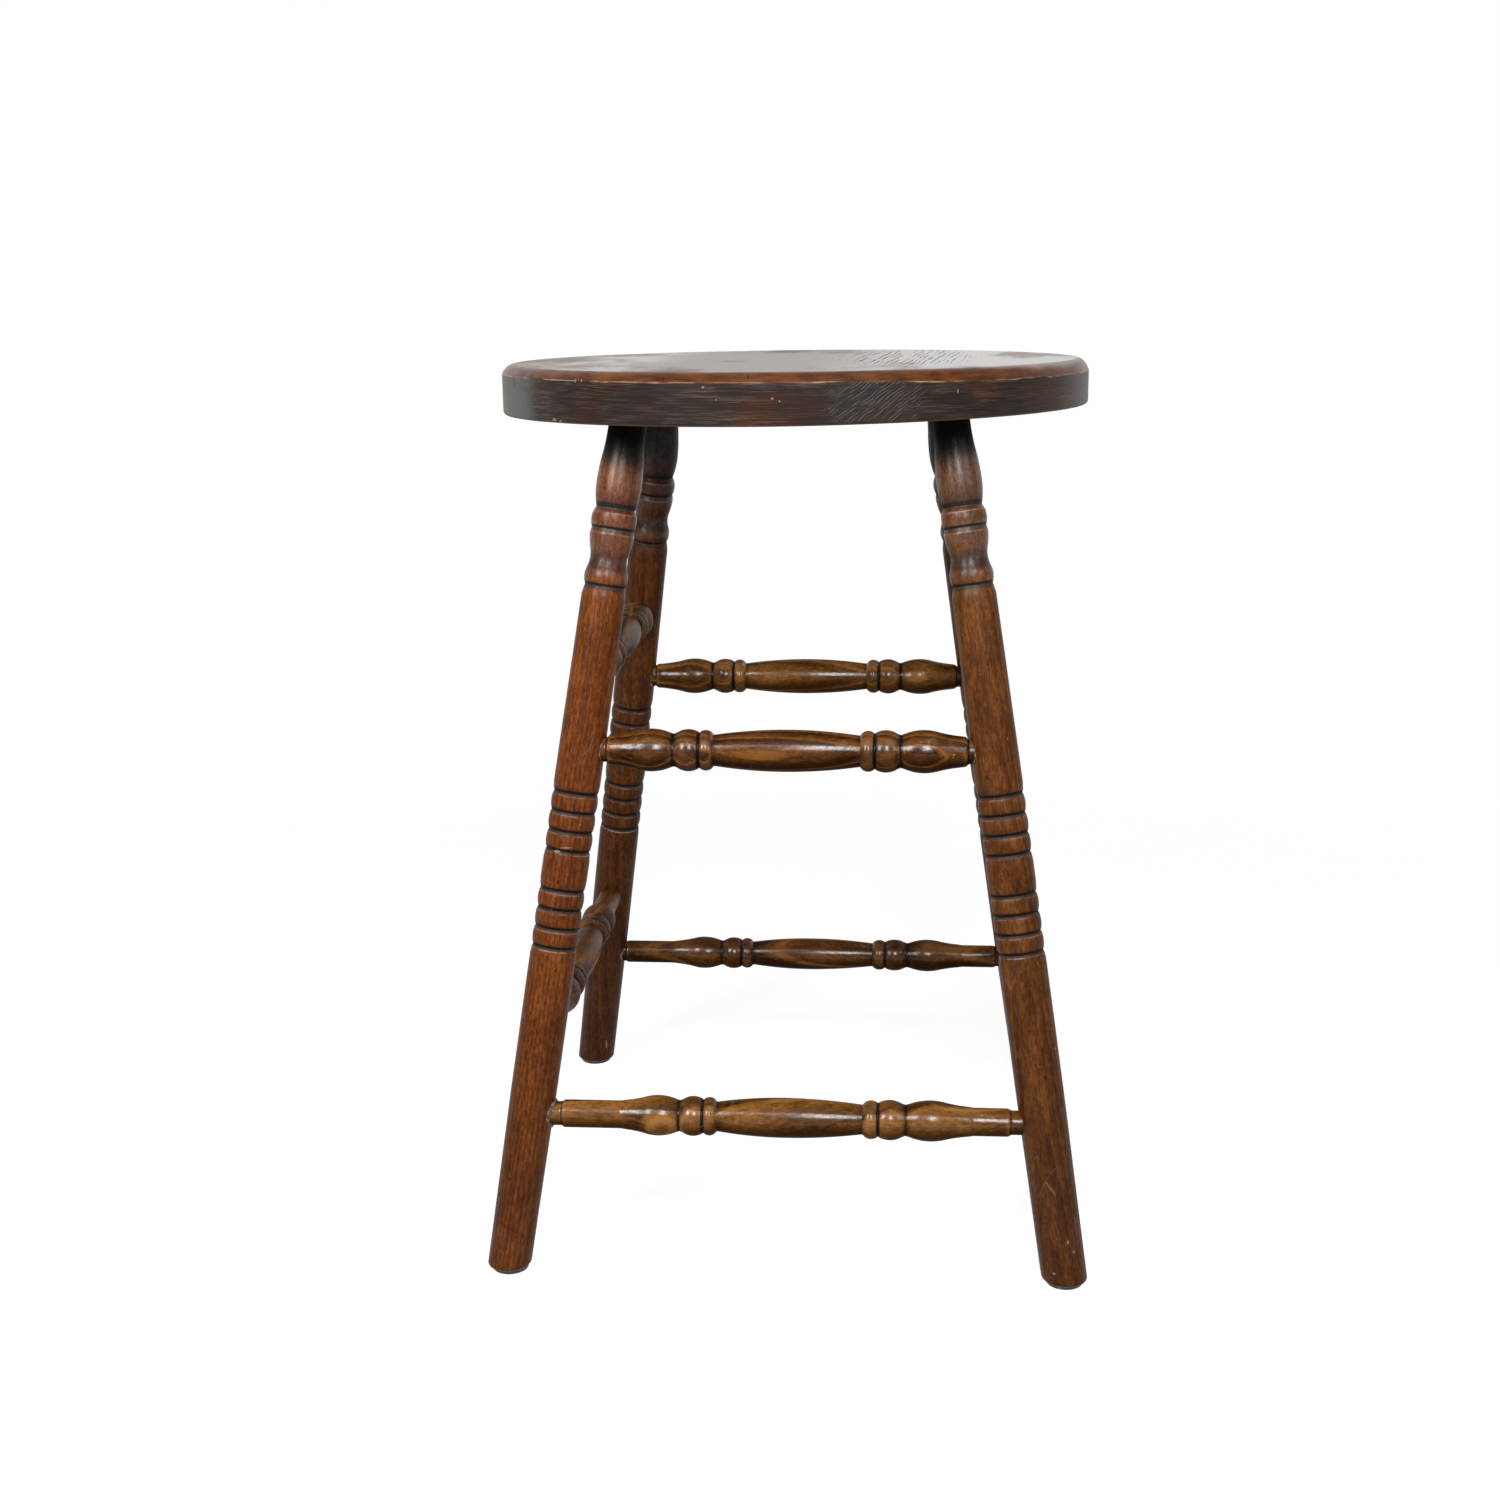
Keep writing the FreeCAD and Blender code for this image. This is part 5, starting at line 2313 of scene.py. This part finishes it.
STRETCHER_TIMBER = TurnedTimber(
    "stretcher_timber",
    dark=(0.018, 0.0058, 0.0014),
    middle=(0.086, 0.0290, 0.0052),
    light=(0.235, 0.090, 0.0200),
    pith=(0.034, 0.0, 0.0),
    ring_pitch=0.0046,
    fibre=0.35,
    ring_lines=0.85,
    ring_depth=0.28,
    worn_and_lit_edge=(0.240, 0.105, 0.038),
    edge_wear_and_light=0.40,
    gloss=0.22,
    coat_ior=1.54,
    lacquer=1.0,
    painted_foot_shade=0.0,
    # Painted shade on the faces that face down.
    underside=0.85,
    reflection=0.01,
    gloss_range=(-0.10, 0.30),
    under_gloss=0.02,
    top_gloss=0.06,
    crackle=1.1,
)
DULL_TIMBER = replace(
    STRETCHER_TIMBER,
    name="dull_stretcher_timber",
    worn_and_lit_edge=(0.13, 0.095, 0.065),
    gloss=0.42,
    lacquer=0.25,
    reflection=0.03,
    under_gloss=0.08,
)
GOLDEN_TIMBER = replace(
    STRETCHER_TIMBER,
    name="golden_stretcher_timber",
    dark=(0.032, 0.0110, 0.0022),
    middle=(0.148, 0.0570, 0.0095),
    light=(0.340, 0.1500, 0.0360),
)


def main() -> None:
    """Builds the stool and its studio."""
    logging.basicConfig(level=logging.INFO, format="%(name)s: %(message)s", force=True)
    scene = bpy.context.scene
    scene.view_settings.view_transform = "Standard"
    effects = Effects.make()
    plan = StoolPlan()
    lathe = Lathe()
    seat = Seat(plan)
    timber = SeatTimber(
        "seat_timber",
        top_level=plan.height,
        side_top=seat.side_top,
        underside=plan.underside,
        bevel_inner=seat.bevel_inner,
        joints=seat.joints,
    )
    pieces = seat.make(timber.material(effects))
    finishes = (LEG_TIMBER, RIGHT_LEG_TIMBER, BACK_LEG_SHADED_TIMBER)
    pieces += Legs(plan, lathe).make(*(finish.material(effects) for finish in finishes))
    stretchers = Stretchers(plan, lathe)
    finishes = (STRETCHER_TIMBER, GOLDEN_TIMBER, DULL_TIMBER)
    pieces += stretchers.make(*(finish.material(effects) for finish in finishes))
    pieces += GlueLines(plan, stretchers).make(DriedGlue("dried_glue").material(effects))
    plastic = ScuffedPlastic("glide_plastic").material(effects)
    pieces += Glides().make(plastic, BrightSteel("nail_steel").material(effects))
    for piece in pieces:
        logger.info("%s: %d faces", piece.name, len(piece.data.polygons))
    Studio().make(PaleFloor("pale_floor").material(effects))
    Camera().make()


if __name__ == "__main__":
    main()
